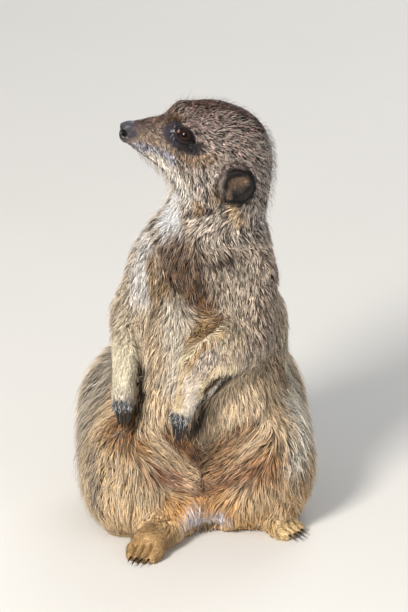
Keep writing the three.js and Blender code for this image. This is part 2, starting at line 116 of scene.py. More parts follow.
camera = bpy.data.objects.new("camera", bpy.data.cameras.new("camera"))
scene.collection.objects.link(camera)
scene.camera = camera
camera.data.sensor_width = SENSOR
camera.data.lens = SENSOR * DISTANCE / VIEW_HEIGHT
camera.data.clip_start = 0.1
ahead = Vector((0, math.cos(ELEVATION), -math.sin(ELEVATION)))
camera.location = AIM - ahead * DISTANCE
camera.rotation_mode = "QUATERNION"
camera.rotation_quaternion = ahead.to_track_quat("-Z", "Y")
print("lens mm", round(camera.data.lens))


# %% Lamps and sky
LAMP_DISTANCE = 1.4


def lamp(name, way, size, power, colour):
    """A square soft lamp that shines on the animal from `way`."""
    light = bpy.data.lights.new(name, "AREA")
    light.size, light.energy, light.color = size, power, linear(colour)
    thing = bpy.data.objects.new(name, light)
    scene.collection.objects.link(thing)
    way = Vector(way).normalized()
    thing.location = AIM + way * LAMP_DISTANCE
    thing.rotation_mode = "QUATERNION"
    thing.rotation_quaternion = (-way).to_track_quat("-Z", "Y")


lamp("key", (-0.5, -0.74, 0.7), 0.35, 22, "#fffaf4")
lamp("fill", (0.9, -0.7, 0.4), 1.2, 3, "#eef3ff")
lamp("rim", (0.4, 1.0, 0.9), 0.8, 6, "#ffffff")

scene.world = bpy.data.worlds.new("sky")
scene.world.use_nodes = True
sky = scene.world.node_tree.nodes["Background"]
sky.inputs["Color"].default_value = (*linear("#e9edf2"), 1)
sky.inputs["Strength"].default_value = 0.5
scene.view_settings.view_transform = "Standard"
scene.view_settings.look = "None"

# %% [markdown]
# ## Materials
# A material is a small graph of nodes. One function adds a node, gives it its settings and links it, so that
# each recipe below reads from the pattern to the surface. Most of the animal's colours are worked out for
# each point of a mesh and carried by it under the name "tone"; a fine pattern then darkens and lightens them.

# %% Node helper
def node(tree, kind, inputs=(), stops=(), **settings):
    """Adds a node, or takes one that is there. `inputs` pairs an input with another node's output or a value,
    `stops` places a ramp's colours in rising order, and settings are properties or inputs."""
    made = tree.nodes.new(kind) if isinstance(kind, str) else kind
    for name, value in settings.items():
        if hasattr(made, name):
            setattr(made, name, value)
        else:
            made.inputs[name.replace("_", " ")].default_value = value
    for name, source in dict(inputs).items():
        if isinstance(source, bpy.types.NodeSocket):
            tree.links.new(source, made.inputs[name])
        else:
            made.inputs[name].default_value = source
    for number, (position, colour) in enumerate(stops):
        held = made.color_ramp.elements
        stop = held[number] if number < 2 else held.new(position)
        stop.position, stop.color = position, (*linear(colour), 1)
    return made


def new_material(name):
    made = bpy.data.materials.new(name)
    made.use_nodes = True
    return made, made.node_tree, made.node_tree.nodes["Principled BSDF"]


def shaded_tone(tree, shade):
    """The tone that a mesh carries, times a pattern's shade."""
    tone = node(tree, "ShaderNodeAttribute", attribute_name="tone")
    shaded = node(tree, "ShaderNodeVectorMath", {0: tone.outputs["Color"], "Scale": shade}, operation="SCALE")
    return shaded.outputs[0]


print("materials so far", len(bpy.data.materials))

# %% Floor
FLOOR_SIZE = 8
CLOUDS = 60.0  # faint clouds in the paint, counted along one side of the floor
floor_paint, tree, surface = new_material("floor_paint_matt")
clouds = node(tree, "ShaderNodeTexNoise", Scale=CLOUDS, Detail=4.0)
paint = node(tree, "ShaderNodeValToRGB", {"Fac": clouds.outputs["Fac"]}, ((0, "#d9d6d0"), (1, "#dfdcd6")))
node(tree, surface, {"Base Color": paint.outputs["Color"]}, Roughness=0.8)

bpy.ops.mesh.primitive_plane_add(size=FLOOR_SIZE, location=(0, 0, 0))
floor = bpy.context.object
floor.name = "floor"
floor.data.materials.append(floor_paint)
floor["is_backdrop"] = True
print("floor m", FLOOR_SIZE)

# %% [markdown]
# ## The head's own frame
# The head is turned to the animal's right and tipped up, so its features are placed in a frame of its own:
# x runs forward to the nose, y to the animal's left, z up through the crown.

# %% Head frame
HEAD_CENTRE = np.array([10.5, 9.0, 210.5])
HEAD_SIZE = 0.935
YAW, PITCH = math.radians(87), math.radians(20)
level = np.array([-math.sin(YAW), -math.cos(YAW), 0.0])
head_forward = level * math.cos(PITCH) + np.array([0, 0, math.sin(PITCH)])
head_left = np.cross([0, 0, 1.0], level)
HEAD_AXES = np.stack([head_forward, head_left, np.cross(head_forward, head_left)])


def in_head(points):
    """World millimetres to the head's own."""
    return (points - HEAD_CENTRE) @ HEAD_AXES.T / HEAD_SIZE


def from_head(points):
    return np.asarray(points) @ HEAD_AXES * HEAD_SIZE + HEAD_CENTRE


print("the nose points to", head_forward.round(2))

# %% [markdown]
# ## The bones under the skin
# The coat changes from place to place: it is a few tenths of a millimetre long on the eyelids and nearly two
# centimetres on the flanks. Each row below is a part of the body as a line between two points with a radius
# and gives, in millimetres, how deep the skin lies under the tips of the coat and how long and how wide a
# tuft is, then how many tufts there are on a square millimetre, and which way the hair lies. A place takes
# the mean of the rows near it, so nothing changes suddenly.

# %% Body map
BONES = {
    # name: (from, to, radius, depth, length, width, density, lie)
    "muzzle": (from_head((36, 0, -6)), from_head((54, 0, -9)), 7, 0.7, 1.7, 0.20, 5.0, -head_forward),
    "face": (from_head((24, 0, -2)), from_head((30, 0, 2)), 14, 1.1, 2.0, 0.28, 4.6, -head_forward),
    "cranium": (from_head((-6, 0, 3)), from_head((14, 0, 10)), 24, 2.2, 2.8, 0.37, 5.0, -head_forward),
    "cheek": (from_head((4, 0, -12)), from_head((20, 0, -14)), 17, 2.1, 2.8, 0.37, 5.0, -head_forward),
    "neck": ((9, 9, 196), (4, 9, 164), 26, 3.6, 5.0, 0.41, 2.6, (-0.08, 0.0, -1)),
    "chest": ((3, 4, 150), (3, 4, 116), 38, 4.4, 7.0, 0.37, 2.1, (0, 0, -1)),
    "belly": ((0, 2, 96), (0, -4, 40), 44, 6.0, 12.0, 0.42, 1.55, (0, -0.05, -1)),
    "back": ((0, 26, 110), (0, 30, 40), 36, 6.0, 12.0, 0.50, 1.4, (0, 0.15, -1)),
    "haunch_left": ((30, 14, 62), (36, -4, 26), 34, 7.2, 12.5, 0.42, 1.5, (0.12, -0.15, -1)),
    "haunch_right": ((-34, 12, 64), (-38, -10, 26), 34, 7.2, 12.5, 0.42, 1.5, (-0.12, -0.15, -1)),
    "shin_left": ((42, -22, 24), (26, -30, 12), 16, 4.0, 7.0, 0.42, 1.8, (0.1, -0.25, -1)),
    "shin_right": ((-44, -34, 24), (-20, -36, 12), 16, 4.0, 7.0, 0.42, 1.8, (0.1, -0.25, -1)),
    "upper_arm_left": ((28.5, -6, 143), (28, -22, 112), 14, 3.4, 6.0, 0.38, 2.2, (0.05, -0.1, -1)),
    "upper_arm_right": ((-27, 8, 142), (-38, 0, 116), 14, 3.4, 6.0, 0.38, 2.2, (-0.1, -0.1, -1)),
    "forearm_left": ((27, -25, 109), (-2, -52, 92), 9, 1.8, 3.4, 0.27, 3.8, (-32, -29, -18)),
    "crook_left": ((13, -29, 119), (-5, -44, 103), 9, 2.0, 3.8, 0.30, 3.2, (-0.45, -0.5, -0.8)),
    "forearm_right": ((-38.5, 0, 113), (-42.5, -34, 94), 9, 1.8, 3.4, 0.27, 3.8, (-4, -36, -20)),
    "hand_left": ((-6, -55, 90), (-13, -60, 78), 5.5, 0.35, 2.3, 0.21, 5.0, (-0.2, -0.15, -1)),
    "hand_right": ((-42.6, -38, 91), (-43.4, -44, 79), 5.5, 0.35, 2.3, 0.21, 5.0, (0.02, -0.15, -1)),
    "foot_left": ((25, -18, 8), (53, -44, 4), 9, 0.9, 2.2, 0.26, 4.2, (21, -19, -2)),
    "foot_right": ((-15, -40, 8), (-35, -74, 4), 9, 0.9, 2.2, 0.26, 4.2, (-16, -26, -2)),
    "tail_root": ((0, 40, 14), (1, 78, 9.8), 12, 3.4, 8.0, 0.42, 1.8, (0, 1, -0.1)),
    "tail_middle": ((2, 84, 9.4), (9, 132, 6.9), 8, 2.0, 6.0, 0.36, 2.2, (0.1, 1, 0)),
    "tail_end": ((10, 136, 6.8), (38, 218, 4.2), 6, 1.4, 5.0, 0.34, 2.4, (0.33, 1, 0)),
}
BONE_NAMES = list(BONES)
DEPTH, LENGTH, WIDTH, DENSITY = range(4)
bone_from = np.array([row[0] for row in BONES.values()], float)
bone_to = np.array([row[1] for row in BONES.values()], float)
bone_radius = np.array([row[2] for row in BONES.values()], float)
bone_facts = np.array([row[3:7] for row in BONES.values()], float)
bone_lie = unit(np.array([row[7] for row in BONES.values()], float))


def bone_distance(points):
    """How far each point is outside each bone's round bar, in units of the bar's radius."""
    found = np.empty((len(points), len(bone_from)), np.float32)
    for i, (a, b, radius) in enumerate(zip(bone_from, bone_to, bone_radius)):
        axis = b - a
        share = np.clip((points - a) @ axis / (axis @ axis), 0, 1)
        found[:, i] = np.linalg.norm(points - a - share[:, None] * axis, axis=1) / radius
    return found


def bone_weights(points):
    """The share that each bone has in each point."""
    near = bone_distance(points)
    weight = np.exp(-6 * (near - near.min(axis=1, keepdims=True)))
    return weight / weight.sum(axis=1, keepdims=True)


print("bones", len(BONES))

# %% [markdown]
# ## One skin
# A real animal has one skin, and the thin cuts between the solids must not show. The solids of flesh are
# swollen by a third of a millimetre, so that they run into each other, and a voxel remesh wraps them in one
# surface. A sphere over each eye gives the lids something to be cut from. Then the facets are smoothed away,
# many rounds on the big round body and few on the face and digits, whose shapes are small.

# %% Points, edges and normals of a mesh, in millimetres
def points_of(mesh):
    found = np.empty(len(mesh.vertices) * 3, np.float32)
    mesh.vertices.foreach_get("co", found)
    return found.reshape(-1, 3).astype(float) / MM


def edges_of(mesh):
    found = np.empty(len(mesh.edges) * 2, np.int32)
    mesh.edges.foreach_get("vertices", found)
    return found.reshape(-1, 2)


def set_points(mesh, points):
    mesh.vertices.foreach_set("co", (points * MM).astype(np.float32).ravel())
    mesh.update()


def normals_of(mesh):
    found = np.empty(len(mesh.vertices) * 3, np.float32)
    mesh.vertex_normals.foreach_get("vector", found)
    return found.reshape(-1, 3).astype(float)


flesh_names = [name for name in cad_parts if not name.startswith(("eye_", "finger_claw", "toe_claw"))]
flesh_points = sum(len(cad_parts[name].data.vertices) for name in flesh_names)
print("solids of flesh", len(flesh_names), "points", flesh_points)

# %% Wrap the solids in one surface
OVERLAP = 0.35  # how far each solid is swollen
VOXEL = 1.4
EYE_PLACE = np.array([24.6, 12.8, 5.7])  # of the left eye, in the head's frame
EYES = [from_head(EYE_PLACE * (1, side, 1)) for side in (1, -1)]
EYE_RADIUS = 4.9
LID = 0.75  # thickness of a lid


def wrapped():
    whole = bmesh.new()
    for name in flesh_names:
        part = bmesh.new()
        part.from_mesh(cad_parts[name].data)
        bmesh.ops.remove_doubles(part, verts=part.verts, dist=0.001 * MM)
        part.normal_update()
        for vertex in part.verts:
            vertex.co += vertex.normal * OVERLAP * MM
        piece = bpy.data.meshes.new("part")
        part.to_mesh(piece)
        part.free()
        whole.from_mesh(piece)
        bpy.data.meshes.remove(piece)
    for centre in EYES:
        place = Matrix.Translation(Vector(centre * MM))
        bmesh.ops.create_icosphere(whole, subdivisions=3, radius=(EYE_RADIUS + LID) * MM, matrix=place)
    mesh = bpy.data.meshes.new("wrapped")
    whole.to_mesh(mesh)
    whole.free()
    thing = bpy.data.objects.new("wrapped", mesh)
    scene.collection.objects.link(thing)
    wrap = thing.modifiers.new("one_surface", "REMESH")
    wrap.mode, wrap.voxel_size = "VOXEL", VOXEL * MM
    found = bpy.data.meshes.new_from_object(thing.evaluated_get(bpy.context.evaluated_depsgraph_get()))
    bpy.data.objects.remove(thing)
    return found


skin_mesh = wrapped()
print("wrapped points", len(skin_mesh.vertices))


# %% Keep the outer shell
def outer_shell(mesh):
    """Removes whatever isn't joined to the largest shell, such as a bubble inside the body."""
    a, b = edges_of(mesh).T
    label = np.arange(len(mesh.vertices))
    while True:
        before = label.copy()
        least = np.minimum(label[a], label[b])
        np.minimum.at(label, a, least)
        np.minimum.at(label, b, least)
        label = label[label]
        if (label == before).all():
            break
    names, sizes = np.unique(label, return_counts=True)
    stray = np.flatnonzero(label != names[sizes.argmax()])
    cleaned = bmesh.new()
    cleaned.from_mesh(mesh)
    cleaned.verts.ensure_lookup_table()
    bmesh.ops.delete(cleaned, geom=[cleaned.verts[i] for i in stray], context="VERTS")
    cleaned.to_mesh(mesh)
    cleaned.free()
    return len(stray)


print("stray points", outer_shell(skin_mesh), "skin points", len(skin_mesh.vertices))


# %% Smooth the facets away
# rounds of smoothing for each bone's skin
ROUNDS = dict(muzzle=8, face=9, cranium=26, cheek=18, neck=40, chest=60, belly=60, back=60, forearm_left=20)
ROUNDS |= dict(haunch_left=60, haunch_right=60, shin_left=40, shin_right=40, upper_arm_left=34)
ROUNDS |= dict(upper_arm_right=34, forearm_right=20, hand_left=2, hand_right=2, foot_left=5, foot_right=5)
ROUNDS |= dict(tail_root=34, tail_middle=22, tail_end=16, crook_left=30)
EAR = np.array([-12.0, 25.8, -9.0])  # middle of the left ear, in the head's frame


def mirrored(points):
    """In the head's frame, with the right side folded onto the left."""
    places = in_head(points)
    places[:, 1] = np.abs(places[:, 1])
    return places


def near_ear(points):
    """1 on the ears' discs, 0 away from them."""
    off = mirrored(points) - EAR
    return smoothstep(14, 11, np.hypot(off[:, 0], off[:, 2])) * smoothstep(-3.5, -1.5, off[:, 1])


def near_eye(points, far, near):
    """1 within `near` millimetres of an eye's centre, 0 beyond `far`."""
    reach = np.linalg.norm(points[:, None] - np.array(EYES), axis=2).min(axis=1)
    return smoothstep(far, near, reach)


def smoothed(points, edges, rounds, forth=0.5, back=-0.52):
    """Moves each point towards the mean of its neighbours and nearly all the way back, which rounds off the
    facets and keeps the volume. Each point takes part for its own number of rounds."""
    a, b = edges.T
    count = np.maximum(np.bincount(a, minlength=len(points)) + np.bincount(b, minlength=len(points)), 1)
    for turn in range(int(np.max(rounds))):
        sums = [np.bincount(a, xs[b], len(xs)) + np.bincount(b, xs[a], len(xs)) for xs in points.T]
        share = np.clip(rounds - turn, 0, 1) * (back if turn % 2 else forth)
        points = points + share[:, None] * (np.stack(sums, 1) / count[:, None] - points)
    return points


skin_points, skin_edges = points_of(skin_mesh), edges_of(skin_mesh)
rounds = bone_weights(skin_points) @ np.array([ROUNDS[name] for name in BONE_NAMES], float)
rounds = mix(rounds, 4, near_ear(skin_points))
set_points(skin_mesh, smoothed(skin_points, skin_edges, 2 * rounds))
print("smoothed", int(rounds.min()), "to", int(rounds.max()), "rounds")


# %% Refine the face, the ears and the digits
def share_of(points, *names):
    """The joint share of some bones in each point."""
    return bone_weights(points)[:, [BONE_NAMES.index(name) for name in names]].sum(axis=1)


def refined(mesh, wanted):
    """Cuts each edge between wanted points in two, then rounds off the new facets."""
    fine = bmesh.new()
    fine.from_mesh(mesh)
    chosen = [edge for edge in fine.edges if wanted[edge.verts[0].index] and wanted[edge.verts[1].index]]
    bmesh.ops.subdivide_edges(fine, edges=chosen, cuts=1, use_grid_fill=True)
    fine.to_mesh(mesh)
    fine.free()
    points = points_of(mesh)
    taking_part = np.arange(len(points)) >= len(wanted)
    taking_part[: len(wanted)] = wanted
    set_points(mesh, smoothed(points, edges_of(mesh), 6.0 * taking_part))


points = points_of(skin_mesh)
digits = share_of(points, "hand_left", "hand_right", "foot_left", "foot_right")
forepart = share_of(points, "muzzle", "face")
small_forms = (near_ear(points) > 0.1) | (near_eye(points, 13, 12) > 0)
refined(skin_mesh, (forepart > 0.5) | (digits > 0.6) | small_forms)
points = points_of(skin_mesh)
digits = share_of(points, "hand_left", "hand_right") * (points[:, 2] < 88)
refined(skin_mesh, (near_eye(points, 9.5, 9) > 0) | (digits > 0.8) | (mirrored(points)[:, 0] > 46))
outline, skin_edges = points_of(skin_mesh), edges_of(skin_mesh)
skin_triangles = sum(len(face.vertices) - 2 for face in skin_mesh.polygons)
print("refined skin points", len(outline), "triangles", skin_triangles)

# %% [markdown]
# ## Under the coat
# The surface so far is the outline of the coat. The skin lies under it by the depth of the coat at each
# place, so every point moves inwards along its normal. The soles and the seat stay on the floor.

# %% Draw the skin in by the depth of the coat
def path_distance(points, path):
    """The distance of each point from a line through the places in `path`."""
    found = np.full(len(points), np.inf)
    for a, b in zip(np.array(path[:-1], float), np.array(path[1:], float)):
        axis = b - a
        share = np.clip((points - a) @ axis / (axis @ axis), 0, 1)
        found = np.minimum(found, np.linalg.norm(points - a - share[:, None] * axis, axis=1))
    return found


def on_chin(points):
    """1 under the chin, where only sparse hairs reach the outline."""
    return smoothstep(7.5, 3.5, path_distance(in_head(points), [(48, 0, -20), (38, 0, -23), (27, 0, -27)]))


EAR_DEPTH, LID_DEPTH, SOLE_DEPTH, CHIN_EXTRA = 0.3, 0.25, 0.1, 1.5
SKIN_OVER_FLOOR = 0.05
SHORT_STEPS = 3  # they follow a hollow better than one long step


def skin_depth(points, normals):
    """How far the skin lies under the outline of the coat."""
    depth = bone_weights(points) @ bone_facts[:, DEPTH]
    depth = mix(depth, EAR_DEPTH, near_ear(points))
    depth = mix(depth, LID_DEPTH, near_eye(points, 9, 6.5))
    depth += CHIN_EXTRA * on_chin(points)
    sole = smoothstep(2.5, 0.8, points[:, 2]) * smoothstep(-0.6, -0.9, normals[:, 2])
    return mix(depth, SOLE_DEPTH, sole)


depth = skin_depth(outline, normals_of(skin_mesh))
skin_points = outline
for step in range(SHORT_STEPS):
    skin_points = skin_points - normals_of(skin_mesh) * depth[:, None] / SHORT_STEPS
    skin_points = smoothed(skin_points, skin_edges, 2 * smoothstep(0.5, 3, depth))
    skin_points[:, 2] = np.maximum(skin_points[:, 2], SKIN_OVER_FLOOR)
    set_points(skin_mesh, skin_points)
print("skin box mm", skin_points.min(0).round(1), skin_points.max(0).round(1))

# %% [markdown]
# ## Folds, lids and lips
# Now the small forms that the solids leave out. Each is a groove or a ridge along a path, and is laid on by
# moving the skin a little along its normal. The eyelids are cut in the angles round the direction in which
# the eye looks: inside an almond the skin passes behind the eyeball, and outside it lies on the ball as a
# lid of even thickness and then runs into the face.

# %% Grooves and ridges
LIPS = [(57, 0.4, -14.6), (52, 3.6, -13.9), (48, 5.2, -15.3), (44.6, 5.8, -16.6), (40.4, 5.8, -17.8)]
LIPS += [(36.6, 6.4, -18.2), (33.3, 7.2, -18.9), (28.5, 8.8, -20.0), (25, 10.5, -20.6)]
NECK_CREASE = [(7.3, 23.2, -33.2), (3.1, 25.4, -31.5), (-1.7, 27.8, -28.1), (-6.6, 28.4, -24.9)]
HEAD_FOLDS = [
    # path in the head's frame, on the coat's outline; height in mm, below 0 for a groove; width in mm
    (LIPS, -0.9, 0.8),
    (np.array(LIPS) + (0, 0.6, 1.6), 0.35, 0.9),
    (NECK_CREASE, -1.8, 1.5),
    ([(40, 10, -1), (36, 12, 0.5), (33, 14.5, 1.5)], -0.35, 1.0),
    ([(37, 12, -5), (31, 16.5, -3.6), (25, 18.6, -2.2), (20, 19.4, 0.5)], -0.4, 1.0),
    ([(36, 13, -3), (30, 17.4, -1.8), (24, 19, 0.2)], 0.35, 1.0),
    ([(37, 9, 9), (31, 12.5, 12.4), (24, 15, 12.6), (17, 18.5, 9)], 0.5, 1.6),
]
BODY_FOLDS = [
    ([(-1, -19.5, 160), (4, -20.8, 161.8), (15, -18, 163), (26, -12.6, 160)], -1.6, 2.2),
    ([(6, -30, 126), (3, -31, 136), (7, -29, 146)], -1.2, 2.6),
    ([(-33, -22, 106), (-31, -18, 116), (-28, -12, 126), (-24, -14, 138)], -1.4, 2.4),
    ([(-11, -44, 63), (-6, -43, 52), (-1, -41, 38), (0.5, -41, 25)], -2.2, 3.2),
    ([(0.6, -44.5, 18), (0.6, -45.2, 15)], -1.6, 1.0),
]


def bell(distance, width):
    """1 at no distance, falling smoothly to nearly 0 at two widths."""
    return np.exp(-((distance / width) ** 2))


place = mirrored(outline)
move = np.zeros(len(outline))
for folds, places in ((HEAD_FOLDS, place), (BODY_FOLDS, outline)):
    for path, height, width in folds:
        move += height * bell(path_distance(places, path), width)
normals = normals_of(skin_mesh)
skin_points = skin_points + normals * move[:, None]
PAD = np.array([55.0, 0, -8.0])
under_pad = smoothstep(54.0, 55.3, place[:, 0])[:, None]
skin_points = skin_points + (from_head(PAD) - skin_points) * 0.6 * under_pad
print("deepest fold mm", move.min().round(2), "highest ridge mm", move.max().round(2))

# %% Digits
END = 0.8  # mm of a claw's length that count as its end


def claw_line(name):
    """The base and tip of a claw, from its solid."""
    points = points_of(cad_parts[name].data)
    centre = points.mean(axis=0)
    axis = np.linalg.svd(points - centre, full_matrices=False)[2][0]
    along = (points - centre) @ axis
    low, high = along < along.min() + END, along > along.max() - END
    ends = np.array([points[low].mean(axis=0), points[high].mean(axis=0)])
    limb = name.replace("finger_claw", "hand").replace("toe_claw", "foot")[:-2]
    far = np.linalg.norm(ends - bone_from[BONE_NAMES.index(limb)], axis=1)
    return ends[far.argmin()], ends[far.argmax()]


DIGITS = {}  # for each hand and foot, the claws' bases and tips, and the way its back faces
for limb, claw, back in (("hand", "finger_claw", (0.0, -0.95, 0.3)), ("foot", "toe_claw", (0.0, 0.0, 1.0))):
    for side in ("left", "right"):
        lines = np.array([claw_line(f"{claw}_{side}_{number}") for number in (1, 2, 3, 4)])
        DIGITS[limb, side] = (lines[:, 0], lines[:, 1], unit(np.array(back)))
GAPS = 3  # between the digits of each hand and foot


def between_digits(places, reach=9.0):
    """How near each place is to a gap between two digits: one column for each gap of every hand and foot."""
    columns = []
    for (limb, _), (bases, tips, back) in DIGITS.items():
        flat = np.eye(3) - np.outer(back, back)
        for i in range(GAPS):
            start = (bases[i] + bases[i + 1]) / 2
            onward = unit((tips[i] + tips[i + 1]) / 2 - start)
            gap = path_distance(places @ flat, np.array([start + onward * 3, start - onward * reach]) @ flat)
            columns.append(gap + 50 * (np.linalg.norm(places - start, axis=1) > 1.6 * reach))
    return np.stack(columns, 1)


GAP_WIDTH = 0.75
gap_depths = np.array([1.4] * 2 * GAPS + [0.9, 1.7, 0.9] * 2)  # hands, then feet, parted most in the middle
gaps = between_digits(outline)
groove = (gap_depths * bell(gaps, GAP_WIDTH)).max(axis=1)
skin_points = skin_points - normals * groove[:, None]
print("points between digits", int((gaps.min(axis=1) < GAP_WIDTH).sum()))

# %% Ears
off = place - EAR
rim = np.hypot(off[:, 0] / 10.5, off[:, 2] / 9.8)
outwards = (normals @ HEAD_AXES[1]) * np.sign(in_head(outline)[:, 1])
outer_face = near_ear(outline) * smoothstep(0.1, 0.5, outwards)
helix = 1.1 * bell(rim - 0.84, 0.12)
hollow = -1.3 * bell(np.hypot((off[:, 0] - 1.5) / 5.0, (off[:, 2] + 0.5) / 3.6), 1)
fold = 0.8 * bell(path_distance(off * (1, 0, 1), [(-6, 0, 2), (-2.5, 0, -3.2), (3.5, 0, -5.6)]), 1.1)
tragus = 0.9 * bell(np.hypot((off[:, 0] - 7.2) / 1.8, (off[:, 2] + 1.5) / 2.4), 1)
skin_points = skin_points + normals * (outer_face * (helix + hollow + fold + tragus))[:, None]
set_points(skin_mesh, skin_points)
print("ear points", int((outer_face > 0.5).sum()))

# %% The eye's own frame
LOOK = unit(np.array([0.38, 0.87, 0.30]))  # where the left eye looks, in the head's frame
SLIT = math.radians(13)  # the rise of the slit between the lids, towards the nose
to_nose = np.array([math.cos(SLIT), 0, math.sin(SLIT)])
to_nose = unit(to_nose - LOOK * (to_nose @ LOOK))
EYE_AXES = np.stack([to_nose, np.cross(to_nose, LOOK), LOOK])  # to the nose, to the brow, and outwards
HALF_WIDTH, UPPER, LOWER, CORNER = math.radians(66), math.radians(34), math.radians(36), 1.6


def slit_edge(turn):
    """The angle from the look axis to the lids' margin, at each turn round it from the nose upwards."""
    half_height = np.where(np.sin(turn) > 0, UPPER, LOWER)
    wide = np.abs(np.cos(turn) / HALF_WIDTH) ** CORNER + np.abs(np.sin(turn) / half_height) ** CORNER
    return wide ** (-1 / CORNER)


def round_the_eye(points):
    """Each point's way from the nearer eye's centre in the eye's frame, its distance, its angle from the look
    axis, its turn round that axis, and how many millimetres it is outside the lids' margin."""
    off = (mirrored(points) - EYE_PLACE) @ EYE_AXES.T * HEAD_SIZE
    reach = np.linalg.norm(off, axis=1)
    turn = np.arctan2(off[:, 1], off[:, 0])
    slant = np.arccos(np.clip(off[:, 2] / np.maximum(reach, 1e-6), -1, 1))
    return off, reach, slant, turn, (slant - slit_edge(turn)) * EYE_RADIUS


print("eye axes in the head's frame", EYE_AXES.round(2).tolist())

# %% Eyelids
EDGE = 0.4  # thickness of a lid at its margin, which grows to LID away from it
BEHIND = 1.6  # how far the skin inside the margin passes behind the eyeball's surface
off, reach, slant, turn, margin = round_the_eye(skin_points)
upper = smoothstep(0, 0.8, np.sin(turn))
lid = EYE_RADIUS + EDGE + (LID - EDGE + 0.15 * upper) * smoothstep(0, 1.4, margin)
crease = -0.4 * bell(margin - mix(2.3, 1.9, upper), 0.45)
fold = 0.3 * bell(margin - mix(3.5, 3.0, upper), 0.7)
lid_and_face = mix(lid, reach, smoothstep(1.2, 3.6, margin)) + crease + fold
wanted = np.where(margin < 0.1, EYE_RADIUS - BEHIND, lid_and_face)
near = smoothstep(10.5, 8.5, reach) * smoothstep(2.2, 1.9, slant)
direction = off / np.maximum(reach, 1e-6)[:, None]
shift = direction * (near * (wanted - reach))[:, None]
side = np.sign(in_head(skin_points)[:, 1])
shift = shift @ EYE_AXES
shift[:, 1] *= side
skin_points = skin_points + shift @ HEAD_AXES
set_points(skin_mesh, skin_points)
print("points behind the eyeballs", int(((margin < 0.1) & (near > 0.5)).sum()))

# %% [markdown]
# ## Eyes and nose
# The eye is a wet ball that the lids hold all round. Its iris is dark red-brown, and its pupil is a level
# oval, which gives a meerkat a wide view of the horizon. The iris is coloured by its angle from the look
# axis, which every point of the ball carries under the name "gaze". A strip of bare black skin makes the
# lids' margin, with the pink tear corner at its nose end. Each piece is written straight from arrays of
# points and triangles, which is quick and leaves nothing to chance.

# %% Pieces from arrays
def new_piece(name, points, faces, material):
    """A mesh object from points in millimetres and faces of one size."""
    mesh = bpy.data.meshes.new(name)
    mesh.vertices.add(len(points))
    mesh.vertices.foreach_set("co", (np.asarray(points) * MM).astype(np.float32).ravel())
    mesh.loops.add(faces.size)
    mesh.loops.foreach_set("vertex_index", faces.astype(np.int32).ravel())
    mesh.polygons.add(len(faces))
    mesh.polygons.foreach_set("loop_start", np.arange(0, faces.size, faces.shape[1], dtype=np.int32))
    mesh.update(calc_edges=True)
    mesh.shade_smooth()
    mesh.materials.append(material)
    piece = bpy.data.objects.new(name, mesh)
    scene.collection.objects.link(piece)
    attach(piece, "root")
    return piece


def store(piece, name, kind, values):
    """One value for each point: FLOAT_VECTOR or FLOAT_COLOR."""
    values = np.asarray(values, np.float32)
    if kind == "FLOAT_COLOR":
        values = np.concatenate([values, np.ones((len(values), 1), np.float32)], axis=1)
    made = piece.data.attributes.new(name, kind, "POINT")
    made.data.foreach_set("vector" if kind == "FLOAT_VECTOR" else "color", values.ravel())


def bake_map(piece, places, faces):
    """The flat map that the colours are baked to, from one place on it for each point."""
    layer = piece.data.uv_layers.new(name="OFBake")
    layer.data.foreach_set("uv", places[faces.ravel()].astype(np.float32).ravel())


print("solids to be replaced", len(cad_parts))


# %% Round shapes
def toward(slants, turns):
    """Unit ways at some angles from the third axis and round it."""
    return np.stack([np.cos(turns) * np.sin(slants), np.sin(turns) * np.sin(slants), np.cos(slants)], 1)


def ball(rings, turns):
    """Angles from the pole and round it for the points of a closed ball, and its triangles."""
    slants = np.repeat(np.linspace(0, math.pi, rings + 1)[1:-1], turns)
    rounds = np.tile(np.linspace(0, 2 * math.pi, turns, endpoint=False), rings - 1)
    slants, rounds = np.concatenate([[0], slants, [math.pi]]), np.concatenate([[0], rounds, [0]])
    ring = np.arange(turns)
    after = (ring + 1) % turns
    faces = [np.stack([np.zeros(turns, int), 1 + ring, 1 + after], 1)]
    for i in range(rings - 2):
        low, high = 1 + i * turns, 1 + (i + 1) * turns
        faces.append(np.stack([low + ring, high + ring, high + after], 1))
        faces.append(np.stack([low + ring, high + after, low + after], 1))
    last = 1 + (rings - 2) * turns
    faces.append(np.stack([last + ring, np.full(turns, last + turns), last + after], 1))
    return slants, rounds, np.concatenate(faces)


def pair(points, faces):
    """The left side's points in the head's frame, in mm from its eye, as both sides' points in the world."""
    left = EYE_PLACE + points @ EYE_AXES / HEAD_SIZE
    both = np.concatenate([from_head(left), from_head(left * (1, -1, 1))])
    return both, np.concatenate([faces, faces[:, ::-1] + len(points)])


print("triangles of a ball", len(ball(48, 72)[2]))

# %% Wet eye material
FIBRES = 9.0  # streaks of the iris from its middle to its edge
eye_glass, tree, surface = new_material("eye_wet_cornea_over_brown_iris")
gaze = node(tree, "ShaderNodeAttribute", attribute_name="gaze")
parts = node(tree, "ShaderNodeSeparateXYZ", {"Vector": gaze.outputs["Vector"]})
fibres = node(
    tree, "ShaderNodeTexNoise", {"Vector": gaze.outputs["Vector"]}, Scale=FIBRES, Detail=5.0, Roughness=0.7
)
wobble = node(tree, "ShaderNodeMath", {0: fibres.outputs["Fac"], 1: 0.16, 2: -0.08}, operation="MULTIPLY_ADD")
shifted = node(tree, "ShaderNodeMath", {0: parts.outputs["Z"], 1: wobble.outputs[0]}, operation="ADD")
iris = node(tree, "ShaderNodeValToRGB", {"Fac": shifted.outputs[0]}, (
    (0.10, "#160c09"), (0.24, "#1d0e0a"), (0.36, "#331811"),
    (0.52, "#2b140e"), (0.66, "#170c0a"), (0.80, "#120c0b"),
))
flat = node(tree, "ShaderNodeVectorMath", {0: gaze.outputs["Vector"], 1: (2.5, 3.4, 0)}, operation="MULTIPLY")
oval = node(tree, "ShaderNodeVectorMath", {0: flat.outputs[0]}, operation="LENGTH")
